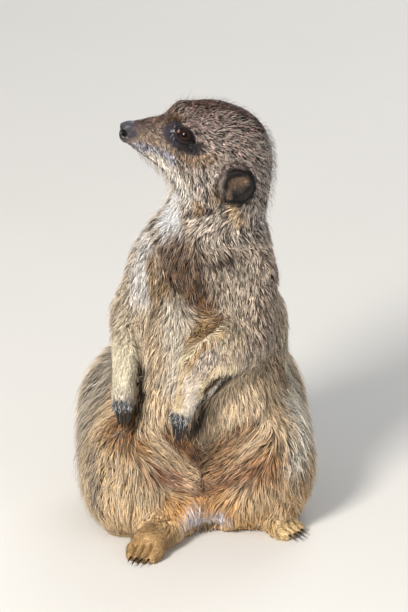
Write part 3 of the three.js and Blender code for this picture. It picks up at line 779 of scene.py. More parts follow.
pupil = node(tree, "ShaderNodeMapRange", {"Value": oval.outputs["Value"]}, From_Min=0.88, From_Max=1.12)
black = (*linear("#070505"), 1)
seen = {"Factor": pupil.outputs["Result"], "A": black, "B": iris.outputs["Color"]}
colour = node(tree, "ShaderNodeMix", seen, data_type="RGBA")
node(
    tree, surface, {"Base Color": colour.outputs["Result"]},
    Roughness=0.2, Specular_IOR_Level=0.14, Coat_Weight=0.08, Coat_Roughness=0.09,
)
print("eye nodes", len(tree.nodes))

# %% Eyeballs
BULGE = 0.22  # of the cornea over the ball
IRIS_EDGE = math.radians(62)  # from the look axis
slants, rounds, faces = ball(48, 72)
faces = faces[:, ::-1]  # the eye's axes are left-handed, so the triangles are turned over
around = toward(slants, rounds)
radius = EYE_RADIUS + BULGE * smoothstep(math.radians(42), math.radians(16), slants)
places, both = pair(around * radius[:, None], faces)
eyes = new_piece("eyeballs", places, both, eye_glass)
angle = slants[:, None] / IRIS_EDGE * np.stack([np.cos(rounds), np.sin(rounds), np.ones(len(rounds))], 1)
store(eyes, "gaze", "FLOAT_VECTOR", np.concatenate([angle, angle]))
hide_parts("eye_left", "eye_right")
print("eyeball triangles", len(both))

# %% Lid margins
TURNS = 112
PROFILE = [  # from the eyeball outwards: mm across the lid's edge, and mm over the ball
    (-0.42, -0.9), (-0.36, -0.1), (-0.28, 0.2), (-0.08, 0.42),
    (0.28, 0.55), (0.75, 0.56), (1.25, 0.42), (1.6, -0.2),
]
turn = np.repeat(np.linspace(0, 2 * math.pi, TURNS, endpoint=False), len(PROFILE))
across, rise = np.tile(PROFILE, (TURNS, 1)).T
brow_side = smoothstep(0, 0.8, np.sin(turn))
rise = rise * (1 + 0.3 * brow_side) + 0.015 * np.sin(13 * turn + 1) * (rise > 0.3)
slant = slit_edge(turn) + (across - 0.1 * brow_side) / EYE_RADIUS
strip = toward(slant, turn) * (EYE_RADIUS + rise)[:, None]
step = np.arange(TURNS)[:, None] * len(PROFILE)
ahead_of = (np.arange(TURNS)[:, None] + 1) % TURNS * len(PROFILE)
here = np.arange(len(PROFILE))[None]
beside = (here + 1) % len(PROFILE)
quads = np.stack([step + here, ahead_of + here, ahead_of + beside, step + beside], 2).reshape(-1, 4)
strip_faces = np.concatenate([quads[:, :3], quads[:, [0, 2, 3]]])
print("points of a lid's edge", len(strip))

# %% Tear corners
CORNER_SIZE = (1.6, 1.0, 0.45)
slants, rounds, corner_faces = ball(14, 20)
corner = toward(slants, rounds) * CORNER_SIZE + (0, 0, EYE_RADIUS - 0.08)
tip_over = HALF_WIDTH - 0.1
sine, cosine = math.sin(tip_over), math.cos(tip_over)
corner = corner @ np.array([[cosine, 0, -sine], [0, 1, 0], [sine, 0, cosine]])
lid_points = np.concatenate([strip, corner])
lid_faces = np.concatenate([strip_faces, corner_faces + len(strip)])
print("points of a tear corner", len(corner))

# %% Bare lid material and piece
GRAINS = 2600.0  # along one side of the piece's box, so finer than shows here: it only keeps the skin matt
bare_skin, tree, surface = new_material("eyelid_bare_dark_skin")
grain = node(tree, "ShaderNodeTexNoise", Scale=GRAINS, Detail=3.0)
shade = node(tree, "ShaderNodeMapRange", {"Value": grain.outputs["Fac"]}, To_Min=0.6, To_Max=1.35)
relief = node(tree, "ShaderNodeBump", {"Height": grain.outputs["Fac"]}, Strength=0.4, Distance=0.2 * MM)
mottled = {"Base Color": shaded_tone(tree, shade.outputs["Result"]), "Normal": relief.outputs["Normal"]}
node(tree, surface, mottled, Roughness=0.5, Specular_IOR_Level=0.16)

places, both = pair(lid_points, lid_faces)
lids = new_piece("lid_margins", places, both, bare_skin)
inner_pink = smoothstep(0.2, 0.05, np.abs(np.sin(turn / 2))) * (across < 0.3)
tones = mix(linear("#0c0b0d"), linear("#4d3a38"), inner_pink[:, None])
tones = np.concatenate([tones, np.tile(linear("#93706a"), (len(corner), 1))])
store(lids, "tone", "FLOAT_COLOR", np.concatenate([tones, tones]))
print("lid triangles", len(both))

# %% [markdown]
# The nose pad is bare black leather. Two comma-shaped nostrils open forward and curl out to the sides, and a
# fine groove runs down from between them to the lip. The pad is pebbled like the nose of a dog.

# %% Nose pad
PAD_SIZE = (5.6, 4.9, 6.4)
SQUARENESS = 0.85  # 1 for a round pad, 0 for a box
slants, rounds, faces = ball(90, 120)
way = toward(slants, rounds)[:, [2, 0, 1]]
pad = PAD + np.sign(way) * np.abs(way) ** SQUARENESS * PAD_SIZE
pad[:, 0] -= 1.05 * smoothstep(-5.6, -8.2, pad[:, 2]) * smoothstep(54, 58, pad[:, 0])
pad[:, 2] += 0.9 * smoothstep(58.5, 53.5, pad[:, 0]) * smoothstep(-6, -2.5, pad[:, 2])
folded = pad * (1, 0, 1) + np.abs(pad) * (0, 1, 0)
nostril = np.exp(-((np.linalg.norm((folded - (57.6, 3.7, -7.9)) / (2.3, 1.9, 1.75), axis=1)) ** 4))
wing = bell(path_distance(folded, [(57, 4.3, -8.9), (55.6, 5.0, -9.6), (54.0, 5.1, -8.8)]), 0.6)
groove = bell(folded[:, 1], 0.34) * smoothstep(-6.8, -8.2, pad[:, 2]) * (slants < 1.8)
brim = bell(path_distance(folded, [(60, 2.0, -5.0), (58.3, 4.0, -5.2), (55.8, 4.9, -6.0)]), 0.8)
lobe = bell(path_distance(folded, [(58.6, 2.4, -11.2), (56.6, 4.2, -11.8)]), 1.2)
pad = pad - way * (2.8 * nostril + 0.8 * wing + 0.5 * groove - 0.4 * brim - 0.3 * lobe)[:, None]
hind = smoothstep(56.5, 54, pad[:, 0]) * smoothstep(-4, -6, pad[:, 2])
front = smoothstep(57.0, 58.4, pad[:, 0]) * smoothstep(-4.2, -5.8, pad[:, 2])
# black in the nostrils, the wing slits, the groove and the lower front: black leather, and painted shade in
# these hollows and on the front that turns away from the light
deep = np.clip(1.4 * nostril + 0.7 * wing + 0.4 * groove + front, 0, 1)
# the top of the pad is lighter: slate leather with a painted highlight where the light falls on it
pad_tone = mix(linear("#302c30"), linear("#4a484f"), smoothstep(-7, -3, pad[:, 2])[:, None])
pad_tone = mix(pad_tone, linear("#574a4d"), hind[:, None])
pad_tone = mix(pad_tone, linear("#060505"), deep[:, None])
print("pad points", len(pad))

# %% Nose leather and piece
PEBBLES_PER_MM = 3.2
leather, tree, surface = new_material("nose_black_pebbled_leather")
place = node(tree, "ShaderNodeTexCoord").outputs["Object"]
pebbles = node(
    tree, "ShaderNodeTexVoronoi", {"Vector": place}, Scale=PEBBLES_PER_MM / MM, feature="DISTANCE_TO_EDGE"
)
seams = node(tree, "ShaderNodeMapRange", {"Value": pebbles.outputs["Distance"]}, From_Max=0.16, To_Min=0.55)
relief = node(tree, "ShaderNodeBump", {"Height": seams.outputs["Result"]}, Strength=0.5, Distance=0.06 * MM)
pebbled = {"Base Color": shaded_tone(tree, seams.outputs["Result"]), "Normal": relief.outputs["Normal"]}
node(tree, surface, pebbled, Roughness=0.32)

nose = new_piece("nose_pad", from_head(pad), faces, leather)
store(nose, "tone", "FLOAT_COLOR", pad_tone)
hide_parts("nose")
flesh_names = [name for name in flesh_names if name != "nose"]
print("nose triangles", len(faces))

# %% [markdown]
# ## Markings
# A meerkat is grizzled grey and tan above, where each hair is banded dark and pale, and plain cream, gold
# and brown below. Its eyes sit in black patches. The colours are laid down as a painter would: a ground
# colour for each part of the body, then named patches over it, each a soft-edged stroke of some radius
# along a path. Every row also says how strong the grizzle is there, from 0 for plain to nearly 2 for the
# strongest salt and pepper. Skin and coat ask the same function, so they always agree.

# %% Ground colours
GROUND = {  # colour and grizzle of each bone's coat
    "muzzle": ("#826f62", 0.5), "face": ("#726052", 0.7), "cranium": ("#594743", 1.7),
    "cheek": ("#665952", 1.45), "neck": ("#92867e", 1.3), "chest": ("#af9e8b", 0.6),
    "belly": ("#d1b591", 0.35), "back": ("#887a68", 0.9),
    "haunch_left": ("#bd9a6f", 0.45), "haunch_right": ("#c6a77e", 0.45),
    "shin_left": ("#d8ab73", 0.25), "shin_right": ("#fad39c", 0.25),
    "upper_arm_left": ("#88776c", 0.9), "upper_arm_right": ("#bfae96", 0.5), "crook_left": ("#dcc8a8", 0.35),
    "forearm_left": ("#faedd9", 0.15), "forearm_right": ("#fff3d4", 0.1),
    "hand_left": ("#e9dbc8", 0.15), "hand_right": ("#c1b8ab", 0.35),
    "foot_left": ("#ffdb9e", 0.2), "foot_right": ("#cca36b", 0.2),
    "tail_root": ("#a88f6c", 0.6), "tail_middle": ("#a98c62", 0.5), "tail_end": ("#a38256", 0.5),
}
print("bones without a ground colour", [name for name in BONE_NAMES if name not in GROUND])

# %% Patches on the head
HEAD_PATCHES = [
    # name, path in the head's frame, radius, softness, colour, grizzle
    ("crown", [(24, 0, 20), (2, 0, 26), (-20, 0, 18)], 9, 0.5, "#422f29", 1.6),
    ("nape", [(-24, 0, 10), (-30, 0, -14), (-30, 10, -30)], 11, 0.5, "#7e7570", 1.75),
    ("pale temple", [(12, 20, 12), (2, 23, 6)], 6, 0.7, "#64544e", 1.75),
    ("bridge", [(34, 0, 8), (45, 0, 1), (52, 0, -2)], 5.5, 0.4, "#6f564b", 0.3),
    ("whisker bed", [(46, 6, -7), (38, 10, -5)], 4.2, 0.5, "#917b69", 0.6),
    ("upper lip", [(48, 5, -13), (38, 9, -11.5), (30, 13, -11)], 4.0, 0.5, "#9794a0", 0.8),
    ("pale jaw", [(40, 8, -15), (30, 11.5, -16.5), (20, 16, -21), (10, 20, -27)], 3.4, 0.5, "#e6ddd2", 0.5),
    ("chin", [(46, 0, -18), (30, 0, -22), (16, 0, -27)], 7, 0.4, "#bcaa9a", 0.3),
    ("mouth line", LIPS, 0.9, 0.5, "#4c352b", 0.2),
    ("slate nose", [(55, 0, -5), (49, 0, -2.0)], 5.0, 0.5, "#4c4143", 0.1),
    ("slate nose sides", [(56, 4.5, -9), (53, 5, -6)], 2.6, 0.4, "#45424a", 0.1),
    ("inner brow", [(36, 8, 9), (33, 10, 12)], 3.6, 0.5, "#58412b", 0.7),
    ("tan below the eye", [(31, 15, -5), (22, 18.5, -5.6), (14, 20, -4)], 2.6, 0.7, "#84694f", 0.6),
    ("tan behind the eye", [(12.5, 19.8, -1.5), (8.5, 21, 0.5)], 3.2, 0.7, "#94744f", 0.6),
    ("eye patch", [(31, 11, 4.6), (25, 14.5, 4.4)], 6.8, 0.22, "#353339", 0.2),
    ("eye patch, rear", [(25, 14.5, 3.6), (19.4, 17.1, 3.1)], 4.5, 0.22, "#2f2829", 0.2),
    ("eye patch corner", [(36, 9.5, 4.4), (30, 11.5, 4.4)], 4.2, 0.4, "#3a353f", 0.2),
    ("eye line", [(17.5, 18, 4.8), (10, 20, 4.0), (6, 21, 3.6)], 1.3, 0.5, "#2b2423", 0.2),
    ("cream below the ear", [(-17, 27.3, -22.5), (-22.5, 25.8, -27)], 3.6, 0.7, "#dabb95", 0.6),
    # painted shade: the neck crease is darkened along its fold
    ("painted shade in the neck crease", NECK_CREASE, 1.6, 0.4, "#2a1e17", 0.2),
    # painted highlight: a pale streak on the hair at the eye's inner corner, where light catches it
    ("tear corner", [(34, 9.6, 4.4), (30.8, 11, 4.8)], 0.6, 0.5, "#a3a2aa", 0.2),
    ("tan before the ear", [(1, 27.5, -17), (-2, 28, -21)], 4.2, 0.8, "#7f6852", 0.8),
    ("rust on the jaw", [(8, 23.5, -28), (4, 24.5, -29)], 3.2, 0.7, "#98795b", 0.6),
]
print("patches on the head", len(HEAD_PATCHES))

# %% Patches on the body
BODY_PATCHES = [
    # the same, with the path in the shared frame
    ("throat", [(-14.7, -1.6, 187), (-16, -3.5, 179), (-16.3, -9, 172.5), (-16.3, -12, 169)],
     6.6, 0.2, "#e0e1e2", 0.1),
    ("neck side", [(4, -18, 178), (18, -16, 172)], 9, 0.6, "#a29588", 1.0),
    ("chest", [(-15, -16, 161), (-13, -23, 150), (-5, -28, 139)], 13, 0.5, "#6b533f", 0.8),
    ("chest centre", [(-12, -22, 154), (-6, -27, 147)], 7.5, 0.6, "#5b422d", 0.7),
    ("chest, right edge", [(-23, -19, 144), (-26, -18, 131)], 4.6, 0.6, "#806648", 0.7),
    # painted shade: the furrow under the neck is darkened along its fold
    ("painted shade in the neck furrow", [(-1, -21.5, 157), (8, -21.4, 158), (15, -19, 160)], 3.0, 0.7, "#54453a", 0.7),
    ("right shoulder", [(-31, -1, 166), (-34.5, -4, 150), (-34.5, -10, 136)], 7.2, 0.8, "#cdc9c4", 0.45),
    ("shoulder edge", [(-27.5, -9, 158), (-28.5, -14, 146), (-27.5, -17, 138)], 2.6, 0.7, "#9b7d57", 0.6),
    ("armpit", [(0, -29, 134), (4, -31, 125), (9, -29, 120)], 7, 0.5, "#6a431f", 0.5),
    ("armpit, lower", [(-1, -30, 128.6), (-6.5, -31, 119), (-9.5, -32.5, 114)], 4.6, 0.8, "#9a7a50", 0.5),
    ("left crook", [(7, -43.5, 116), (1.5, -48.5, 109)], 5.0, 0.8, "#d3c0ae", 0.5),
    ("left crook, golden",
     [(8.7, -36.4, 123.9), (2.2, -42.2, 118.8), (-3.2, -46.8, 114.4), (-8.1, -50.2, 108.8)],
     1.8, 0.8, "#c7a477", 0.3),
    ("crook edge", [(7.6, -33.2, 125.4), (1.6, -39, 121.5), (-5.4, -44.2, 116.7), (-10.3, -45.4, 111.3)],
     1.9, 0.5, "#ecdcb8", 0.2),
    ("left wrist, cream", [(-4.8, -55.1, 102.7), (-3.8, -58.9, 96.7)], 4.4, 0.8, "#e6d3c0", 0.1),
    ("left wrist, outer rim", [(-12.3, -50, 104), (-11.9, -56.8, 96.4), (-12.4, -60.6, 90)],
     2.2, 0.8, "#ecd0a0", 0.1),
    ("wrist, inner rim", [(18.4, -43.5, 107.5), (10.8, -46.9, 107), (4.5, -52.5, 103), (1.1, -57.2, 94.1)],
     2.2, 0.8, "#f2dbb0", 0.1),
    # painted shade: the underside of the left wrist is darkened where it faces the belly
    ("painted shade under the left wrist", [(4, -55.5, 91.5), (1, -57, 88.5), (-2, -58, 85)], 1.8, 0.6, "#4a3322", 0.2),
    # painted shade: the lower edge of the left forearm is darkened where it turns away from the light
    ("painted shade on the left forearm's lower edge", [(13, -48, 102.5), (8, -51.5, 100), (3.5, -55, 95.5)],
     1.7, 0.5, "#5a4028", 0.3),
    # painted shadow: the shadow that the left forearm and hand cast on the belly
    ("painted shadow below the left forearm", [(-7, -45, 69), (-3, -44.5, 76), (3, -46, 84), (12, -46, 91), (26, -39, 99)],
     4.2, 0.6, "#2a1a10", 0.2),
    # painted shade: the underside of the left forearm is darkened where it faces down to the belly
    ("painted shade under the left forearm",
     [(20, -44, 102), (14.5, -47.5, 98.5), (10.5, -50, 94), (7, -50.5, 90), (2.5, -52, 86.5)],
     2.7, 0.4, "#30221a", 0.2),
    # painted shadow: the shadow between the right forearm and the belly
    ("painted shadow inside the right forearm", [(-34, -26, 100), (-34, -31, 90), (-36, -32, 80), (-41, -37, 70)],
     2.8, 0.5, "#3a2817", 0.3),
    ("breast", [(-18, -26, 132), (-14, -33, 112), (-14, -38, 98)], 7, 0.6, "#c9bca9", 0.4),
    ("left flank", [(44, 0, 104), (52, -4, 70), (54, -2, 40)], 15, 0.5, "#ad9f88", 0.8),
    ("left flank, low", [(54, -8, 76), (54, -18, 63), (52, -36, 50)], 9, 0.95, "#e6dbc8", 0.7),
    ("left flank rust", [(43, -12, 97), (47, -12, 86)], 5, 0.95, "#987757", 0.7),
    ("right flank", [(-50, 4, 96), (-58, -4, 66), (-60, -10, 36)], 14, 0.5, "#908576", 0.8),
    ("right flank, low", [(-60, -32, 56), (-61, -43, 42), (-60, -45, 28)], 7, 0.8, "#847362", 0.8),
    ("right thigh top", [(-45, -36, 72), (-40, -40, 56)], 8, 0.6, "#9a6b38", 0.45),
    ("left belly", [(22, -38, 84), (26, -38, 70)], 13, 0.6, "#f6d8b1", 0.4),
    ("left thigh, front", [(40, -40, 54), (38, -42, 44)], 8, 0.9, "#a47e56", 0.45),
    ("V, left", [(26, -38, 68), (16, -38, 54), (6, -41, 36)], 9, 0.5, "#b28961", 0.6),
    ("V, right", [(-20, -40, 66), (-9, -42, 52), (0, -41, 34)], 7.0, 0.5, "#815b3c", 0.6),
    # the V's middle: dark brown coat, and painted shade along the fold between the thighs
    ("V, middle, dark and with painted shade in its fold", [(2, -39, 62), (2, -39, 46), (1, -41, 32)], 6.5, 0.5, "#44301f", 0.6),
    ("pale tuft", [(-25, -42, 55), (-17, -41, 48)], 4.2, 0.6, "#b59772", 0.5),
    ("mauve, right", [(-32, -46, 46), (-18, -43, 40), (-6, -42, 29)], 4.4, 0.6, "#ae7c5f", 0.5),
    ("mauve, left", [(33, -42, 46), (20, -41, 38), (7, -42, 28)], 5.2, 0.6, "#996d4c", 0.5),
    ("gold under the V", [(-16, -48, 24), (14, -46, 24)], 7, 0.6, "#d49e5f", 0.3),
    ("groin", [(-6, -44, 15), (7, -44, 14)], 8.0, 0.4, "#eeebf7", 0.15),
    ("groin slit", [(0.6, -45, 18), (0.6, -46, 12)], 1.0, 0.5, "#7d6155", 0.1),
    ("left haunch, rear", [(40, 42, 72), (43, 40, 28)], 11, 0.95, "#9c8667", 0.7),
    ("right haunch, rear", [(-40, 42, 72), (-44, 42, 28)], 11, 0.95, "#9c8667", 0.7),
    ("tail tip", [(24, 186, 5), (40, 224, 4)], 9, 0.5, "#2a211c", 0.3),
]


print("patches on the body", len(BODY_PATCHES))

# %% Patches on the ears
EAR_PATCHES = [
    # path on the ear's disc in the head's frame, radius, softness, colour
    ([(-1, 0, -1), (-0.5, 0, -0.6)], 10.2, 0.15, "#3d332d"),
    ([(5.5, 0, 5.5), (-5, 0, 7), (-8.5, 0, 0), (-5, 0, -6.5), (1.5, 0, -8)], 4.0, 0.3, "#171210"),
    ([(6.8, 0, 3.5), (7, 0, -1.5)], 2.2, 0.4, "#211a17"),
    ([(3.6, 0, 0.5), (1, 0, 3), (-1.6, 0, 4.6)], 2.7, 0.5, "#7a6250"),
    ([(5, 0, -3.6), (2.6, 0, -7)], 1.7, 0.5, "#6f5c4e"),
]
print("patches on each ear", len(EAR_PATCHES))


# %% Faint bars across the back
def on_back(x, z):
    """The place on the outline of the back at this distance aside and at this height."""
    near = outline[np.hypot(outline[:, 0] - x, outline[:, 2] - z) < 2]
    return near[near[:, 1].argmax()]


BAR_HEIGHTS = range(42, 140, 12)
SAG = 0.006  # how far a bar's ends hang, for each square millimetre of the distance aside
for height in BAR_HEIGHTS:
    arch = [on_back(x, height - SAG * x * x) for x in (-28, -14, 0, 14, 28)]
    BODY_PATCHES.append((f"back bar at {height} mm", arch, 2.6, 0.9, "#57483b", 0.9))
print("back bars", len(BAR_HEIGHTS))


# %% One function for the markings
def stroke(places, path, radius, soft, ragged=0.0):
    """1 on a stroke of this radius along a path and 0 away from it, with a soft and perhaps ragged edge."""
    return smoothstep(1 + soft, 1 - soft, path_distance(places, path) / radius + ragged)


def waves(points, size, seed, count=9):
    """A smooth random field, about -1 to 1, with features of about `size` millimetres."""
    random = np.random.default_rng(seed)
    ways = unit(random.normal(size=(count, 3))) * (2 * math.pi / size) * random.uniform(0.5, 1.1, (count, 1))
    return np.sin(points @ ways.T + random.uniform(0, 6.28, count)).sum(axis=1) / math.sqrt(count)


def on_digits(places):
    """1 on the bare-looking slate digits of the hands, 0 away from them."""
    hands = [DIGITS["hand", side][0] for side in ("left", "right")]
    return np.max([smoothstep(11.5, 7.5, path_distance(places, bases)) for bases in hands], axis=0)


def markings(places):
    """The coat's colour and the strength of its grizzle at places on its outline."""
    share = bone_weights(places)
    colour = share @ np.array([linear(GROUND[name][0]) for name in BONE_NAMES])
    grizzle = share @ np.array([GROUND[name][1] for name in BONE_NAMES])
    ragged = 0.10 * waves(places, 9, 1) + 0.06 * waves(places, 4, 2)
    for patches, where in ((BODY_PATCHES, places), (HEAD_PATCHES, mirrored(places))):
        for _, path, radius, soft, hue, strength in patches:
            cover = stroke(where, path, radius, soft, ragged)
            colour = mix(colour, linear(hue), cover[:, None])
            grizzle = mix(grizzle, strength, cover)
    on_ear = near_ear(places)
    off = (mirrored(places) - EAR) * (1, 0, 1)
    for path, radius, soft, hue in EAR_PATCHES:
        cover = on_ear * stroke(off, path, radius, soft, ragged)
        colour = mix(colour, linear(hue), cover[:, None])
    # painted shade: hands and feet are darker in the gaps between the digits, where the digits shade each
    # other
    gaps = between_digits(places)
    for gap, hue in zip((gaps[:, : 2 * GAPS], gaps[:, 2 * GAPS :]), ("#2b2e33", "#8f6a3e")):  # hands, feet
        colour = mix(colour, linear(hue), (0.7 * smoothstep(1.0, 0.4, gap.min(axis=1)))[:, None])
    colour = mix(colour, linear("#4c535e"), (0.92 * on_digits(places))[:, None])
    return colour, mix(grizzle, 0.3, on_ear)


tones, strength = markings(outline)
print("grizzle", strength.min().round(2), "to", strength.max().round(2))

# %% [markdown]
# ## Skin
# Between the hairs the skin shows as a darker shade of the coat that grows from it. Fine creases and pores
# keep it from looking like plastic wherever the coat is thin. Real ones are a few tenths of a millimetre
# apart and would hardly show, so they are drawn at three to every two millimetres.

# %% Skin material and piece
PORES_PER_MM = 1.5
furred_skin, tree, surface = new_material("skin_under_short_hair")
place = node(tree, "ShaderNodeTexCoord").outputs["Object"]
pores = node(
    tree, "ShaderNodeTexNoise", {"Vector": place}, Scale=PORES_PER_MM / MM, Detail=4.0, Roughness=0.65
)
shade = node(
    tree, "ShaderNodeMapRange", {"Value": pores.outputs["Fac"]},
    From_Min=0.3, From_Max=0.7, To_Min=0.55, To_Max=1.3,
)
relief = node(tree, "ShaderNodeBump", {"Height": pores.outputs["Fac"]}, Strength=0.5, Distance=0.3 * MM)
creased = {"Base Color": shaded_tone(tree, shade.outputs["Result"]), "Normal": relief.outputs["Normal"]}
node(tree, surface, creased, Roughness=0.7, Specular_IOR_Level=0.3)

set_points(skin_mesh, skin_points)
skin_mesh.name = "skin"
skin_mesh.shade_smooth()
skin_mesh.materials.clear()
skin_mesh.materials.append(furred_skin)
skin = bpy.data.objects.new("skin", skin_mesh)
scene.collection.objects.link(skin)
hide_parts(*flesh_names)
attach(skin, "root")
store(skin, "tone", "FLOAT_COLOR", tones * mix(0.85, 0.6, strength)[:, None])
print("skin points", len(outline))

# %% [markdown]
# ## How the coat lies
# Hair grows from the nose backwards over the head, down the neck and trunk, and along each limb to its
# toes. On the belly the coat parts, and runs in from both thighs to a seam in the middle. The same kind of
# soft strokes as the markings bend the lie of each bone where the coat does something of its own.

# %% Lie of the coat
HEAD_FLOWS = [
    # path in the head's frame, radius, softness, direction
    ([(50, 5, -8), (36, 10, -10)], 7, 0.6, (-1, 0.1, -0.35)),
    ([(44, 0, -16), (28, 0, -20)], 8, 0.5, (-0.5, 0, -1)),
    ([(28, 6, -20), (10, 12, -28)], 8, 0.5, (-0.3, 0, -1)),
    ([(28, 15, -7), (14, 20, -12), (4, 22, -20)], 10, 0.6, (-0.8, 0.1, -0.75)),
    ([(30, 8, 14), (24, 0, 18)], 8, 0.6, (-1, 0, 0.2)),
    ([(-14, 0, 18), (-26, 0, 4)], 14, 0.5, (-0.8, 0, -0.9)),
    ([(-6, 24, 4), (-22, 18, -6)], 9, 0.6, (-0.9, 0.1, -0.9)),
]
BODY_FLOWS = [
    ([(20, -16, 184), (-4, -16, 180)], 8, 0.6, (-0.75, -0.2, -0.6)),
    ([(2, -20, 164), (24, -14, 166)], 6, 0.6, (0.45, 0.0, -0.9)),
    ([(-22, -16, 154), (-12, -24, 146)], 8, 0.6, (0.4, -0.1, -0.9)),
    ([(-6, -30, 130), (4, -31, 122)], 8, 0.5, (0.9, 0, -0.45)),
    ([(-6, -36, 112), (-12, -38, 98)], 8, 0.6, (-0.35, 0, -1)),
    ([(-30, -42, 58), (-18, -42, 46), (-10, -42, 34)], 9, 0.5, (0.85, 0.05, -0.55)),
    ([(-8, -42, 60), (-3, -41, 44)], 6, 0.5, (0.6, 0, -0.8)),
    ([(32, -40, 62), (20, -40, 46), (10, -42, 34)], 11, 0.5, (-0.85, 0, -0.5)),
    ([(14, -38, 66), (6, -39, 50)], 7, 0.5, (-0.65, 0, -0.75)),
    ([(0.5, -42, 44), (0.6, -44, 20)], 3.2, 0.6, (0, 0, -1)),
    ([(-58, -4, 100), (-62, -10, 50)], 16, 0.6, (-0.55, -0.1, -0.85)),
    ([(50, 0, 104), (60, -4, 44)], 14, 0.6, (0.42, -0.05, -0.9)),
    ([(-50, -44, 20), (-34, -50, 12)], 9, 0.6, (0.3, -0.5, -0.8)),
]


def lie_of(places):
    """The way the hair lies at places on the outline, before it is turned into the skin's plane."""
    way = bone_weights(places) @ bone_lie
    local = mirrored(places)
    side = np.where(in_head(places)[:, 1] < 0, -1.0, 1.0)
    for path, radius, soft, flow in BODY_FLOWS:
        way = mix(way, unit(np.array(flow, float)), stroke(places, path, radius, soft)[:, None])
    for path, radius, soft, flow in HEAD_FLOWS:
        flow = unit(np.array(flow, float)) * np.stack([np.ones(len(side)), side, np.ones(len(side))], 1)
        way = mix(way, flow @ HEAD_AXES, stroke(local, path, radius, soft)[:, None])
    sway = np.stack([waves(places, 14, seed) for seed in (3, 4, 5)], 1) * 0.12
    return unit(unit(way) + sway)


def into_plane(ways, normals):
    return unit(ways - normals * (ways * normals).sum(axis=1)[:, None])


print("flows", len(HEAD_FLOWS) + len(BODY_FLOWS))

# %% Longer hair
HEAD_SHAG = [
    # path in the head's frame, radius, softness, extra length and extra height in mm
    ([(44, 0, -19), (30, 0, -24)], 7, 0.5, 1.0, 0.4),
    ([(30, 8, -18), (18, 12, -24), (8, 14, -30)], 7, 0.6, 4.0, 2.2),
    ([(-26, 0, 6), (-30, 0, -16)], 12, 0.5, 2.0, 0.8),
]
BODY_SHAG = [
    ([(-20, 2, 186), (-30, 4, 168), (-33, 2, 156)], 9, 0.6, 3.5, 2.4),
    ([(-32, 6, 160), (-37, 6, 132)], 9, 0.6, 2.5, 1.6),
    ([(-46, 6, 116), (-62, -2, 78), (-64, -8, 40), (-60, -10, 24)], 17, 0.5, 6.0, 5.0),
    ([(44, 4, 112), (58, -2, 70), (60, -4, 28)], 15, 0.5, 4.0, 2.4),
    ([(0, 60, 120), (0, 66, 40)], 24, 0.5, 4.0, 1.5),
]


def shag(places):
    """Extra length and height of the coat at places on its outline."""
    found = np.zeros((2, len(places)))
    for rows, where in ((HEAD_SHAG, mirrored(places)), (BODY_SHAG, places)):
        for path, radius, soft, longer, higher in rows:
            found = np.maximum(found, stroke(where, path, radius, soft) * np.array([[longer], [higher]]))
    return found


print("places with longer hair", len(HEAD_SHAG) + len(BODY_SHAG))

# %% [markdown]
# ## Roots
# Each tuft grows from its own root, and the roots are spread over the skin at random, as thickly as the
# body map asks. None grows on the lids' margins, the nose pad or the soles.

# %% How many roots each triangle of the skin wants
BARE_LID = 1.3  # mm of bare margin round the eye's opening
BARE_PAD = (4.6, 5.0, 5.1)  # the hairless pad of the nose, half its length, width and height
RUMP = ("belly", "back", "haunch_left", "haunch_right", "shin_left", "shin_right")
skin_mesh.calc_loop_triangles()
corners = np.empty(len(skin_mesh.loop_triangles) * 3, np.int32)
skin_mesh.loop_triangles.foreach_get("vertices", corners)
corners = corners.reshape(-1, 3)
skin_points, skin_normals = points_of(skin_mesh), normals_of(skin_mesh)
a, b, c = (skin_points[corners[:, k]] for k in range(3))
areas = np.linalg.norm(np.cross(b - a, c - a), axis=1) / 2
middles = outline[corners].mean(axis=1)
density = mix(bone_weights(middles) @ bone_facts[:, DENSITY], 5.0, near_ear(middles))
wanted = areas * density

_, reach, _, _, margin = round_the_eye((a + b + c) / 3)
wanted[(reach < 9) & (margin < BARE_LID)] = 0
wanted[np.linalg.norm((mirrored(middles) - PAD) / BARE_PAD, axis=1) < 1] = 0
facing = unit(np.cross(b - a, c - a))[:, 2]
height = middles[:, 2]
on_rump = share_of(middles, *RUMP) > 0.5
wanted[(height < 2.5) & (facing < -0.55)] = 0  # soles
wanted[on_rump & (height < 6) & (facing < -0.25)] = 0  # the seat
wanted[on_rump & (height < 3.5) & (facing > 0.05)] = 0  # creases just over the floor
print("bare triangles", int((wanted == 0).sum()), "of", len(wanted))

# %% Scatter the roots
TUFTS = 141500
chosen = rng.choice(len(corners), size=TUFTS, p=wanted / wanted.sum())
spread = rng.dirichlet((1, 1, 1), len(chosen))


def at_roots(values):
    return np.einsum("nk,nkj->nj", spread, values[corners[chosen]])


roots = at_roots(skin_points)
root_normals = unit(at_roots(skin_normals))
root_outline = at_roots(outline)
root_weights = bone_weights(root_outline)
root_ear = near_ear(root_outline)
print("roots", len(roots), "on", round(areas.sum()), "mm2 of skin")

# %% [markdown]
# ## Tufts
# A tuft is a few hairs that stick together: a thin blade of three sides that tapers to a point. It rises
# from the skin and then bends over to lie along the body, so its tip is found by walking over the skin in
# the way the coat lies and going up by the coat's depth. Tips are drawn a little towards the tip of the
# nearest lock, which gives the broken, streaky look of real fur. A real hair is too fine to show, so each
# blade is a few tenths of a millimetre wide.

# %% Walk over the skin
CLEARANCE = 0.3  # mm of a tuft over the floor or a claw
skin_tree = BVHTree.FromPolygons(skin_points.tolist(), corners.tolist())


def on_skin(places):
    """The nearest points of the skin and its normals there."""
    found = [skin_tree.find_nearest(place) for place in places.tolist()]
    return np.array([item[0] for item in found]), np.array([item[1] for item in found])


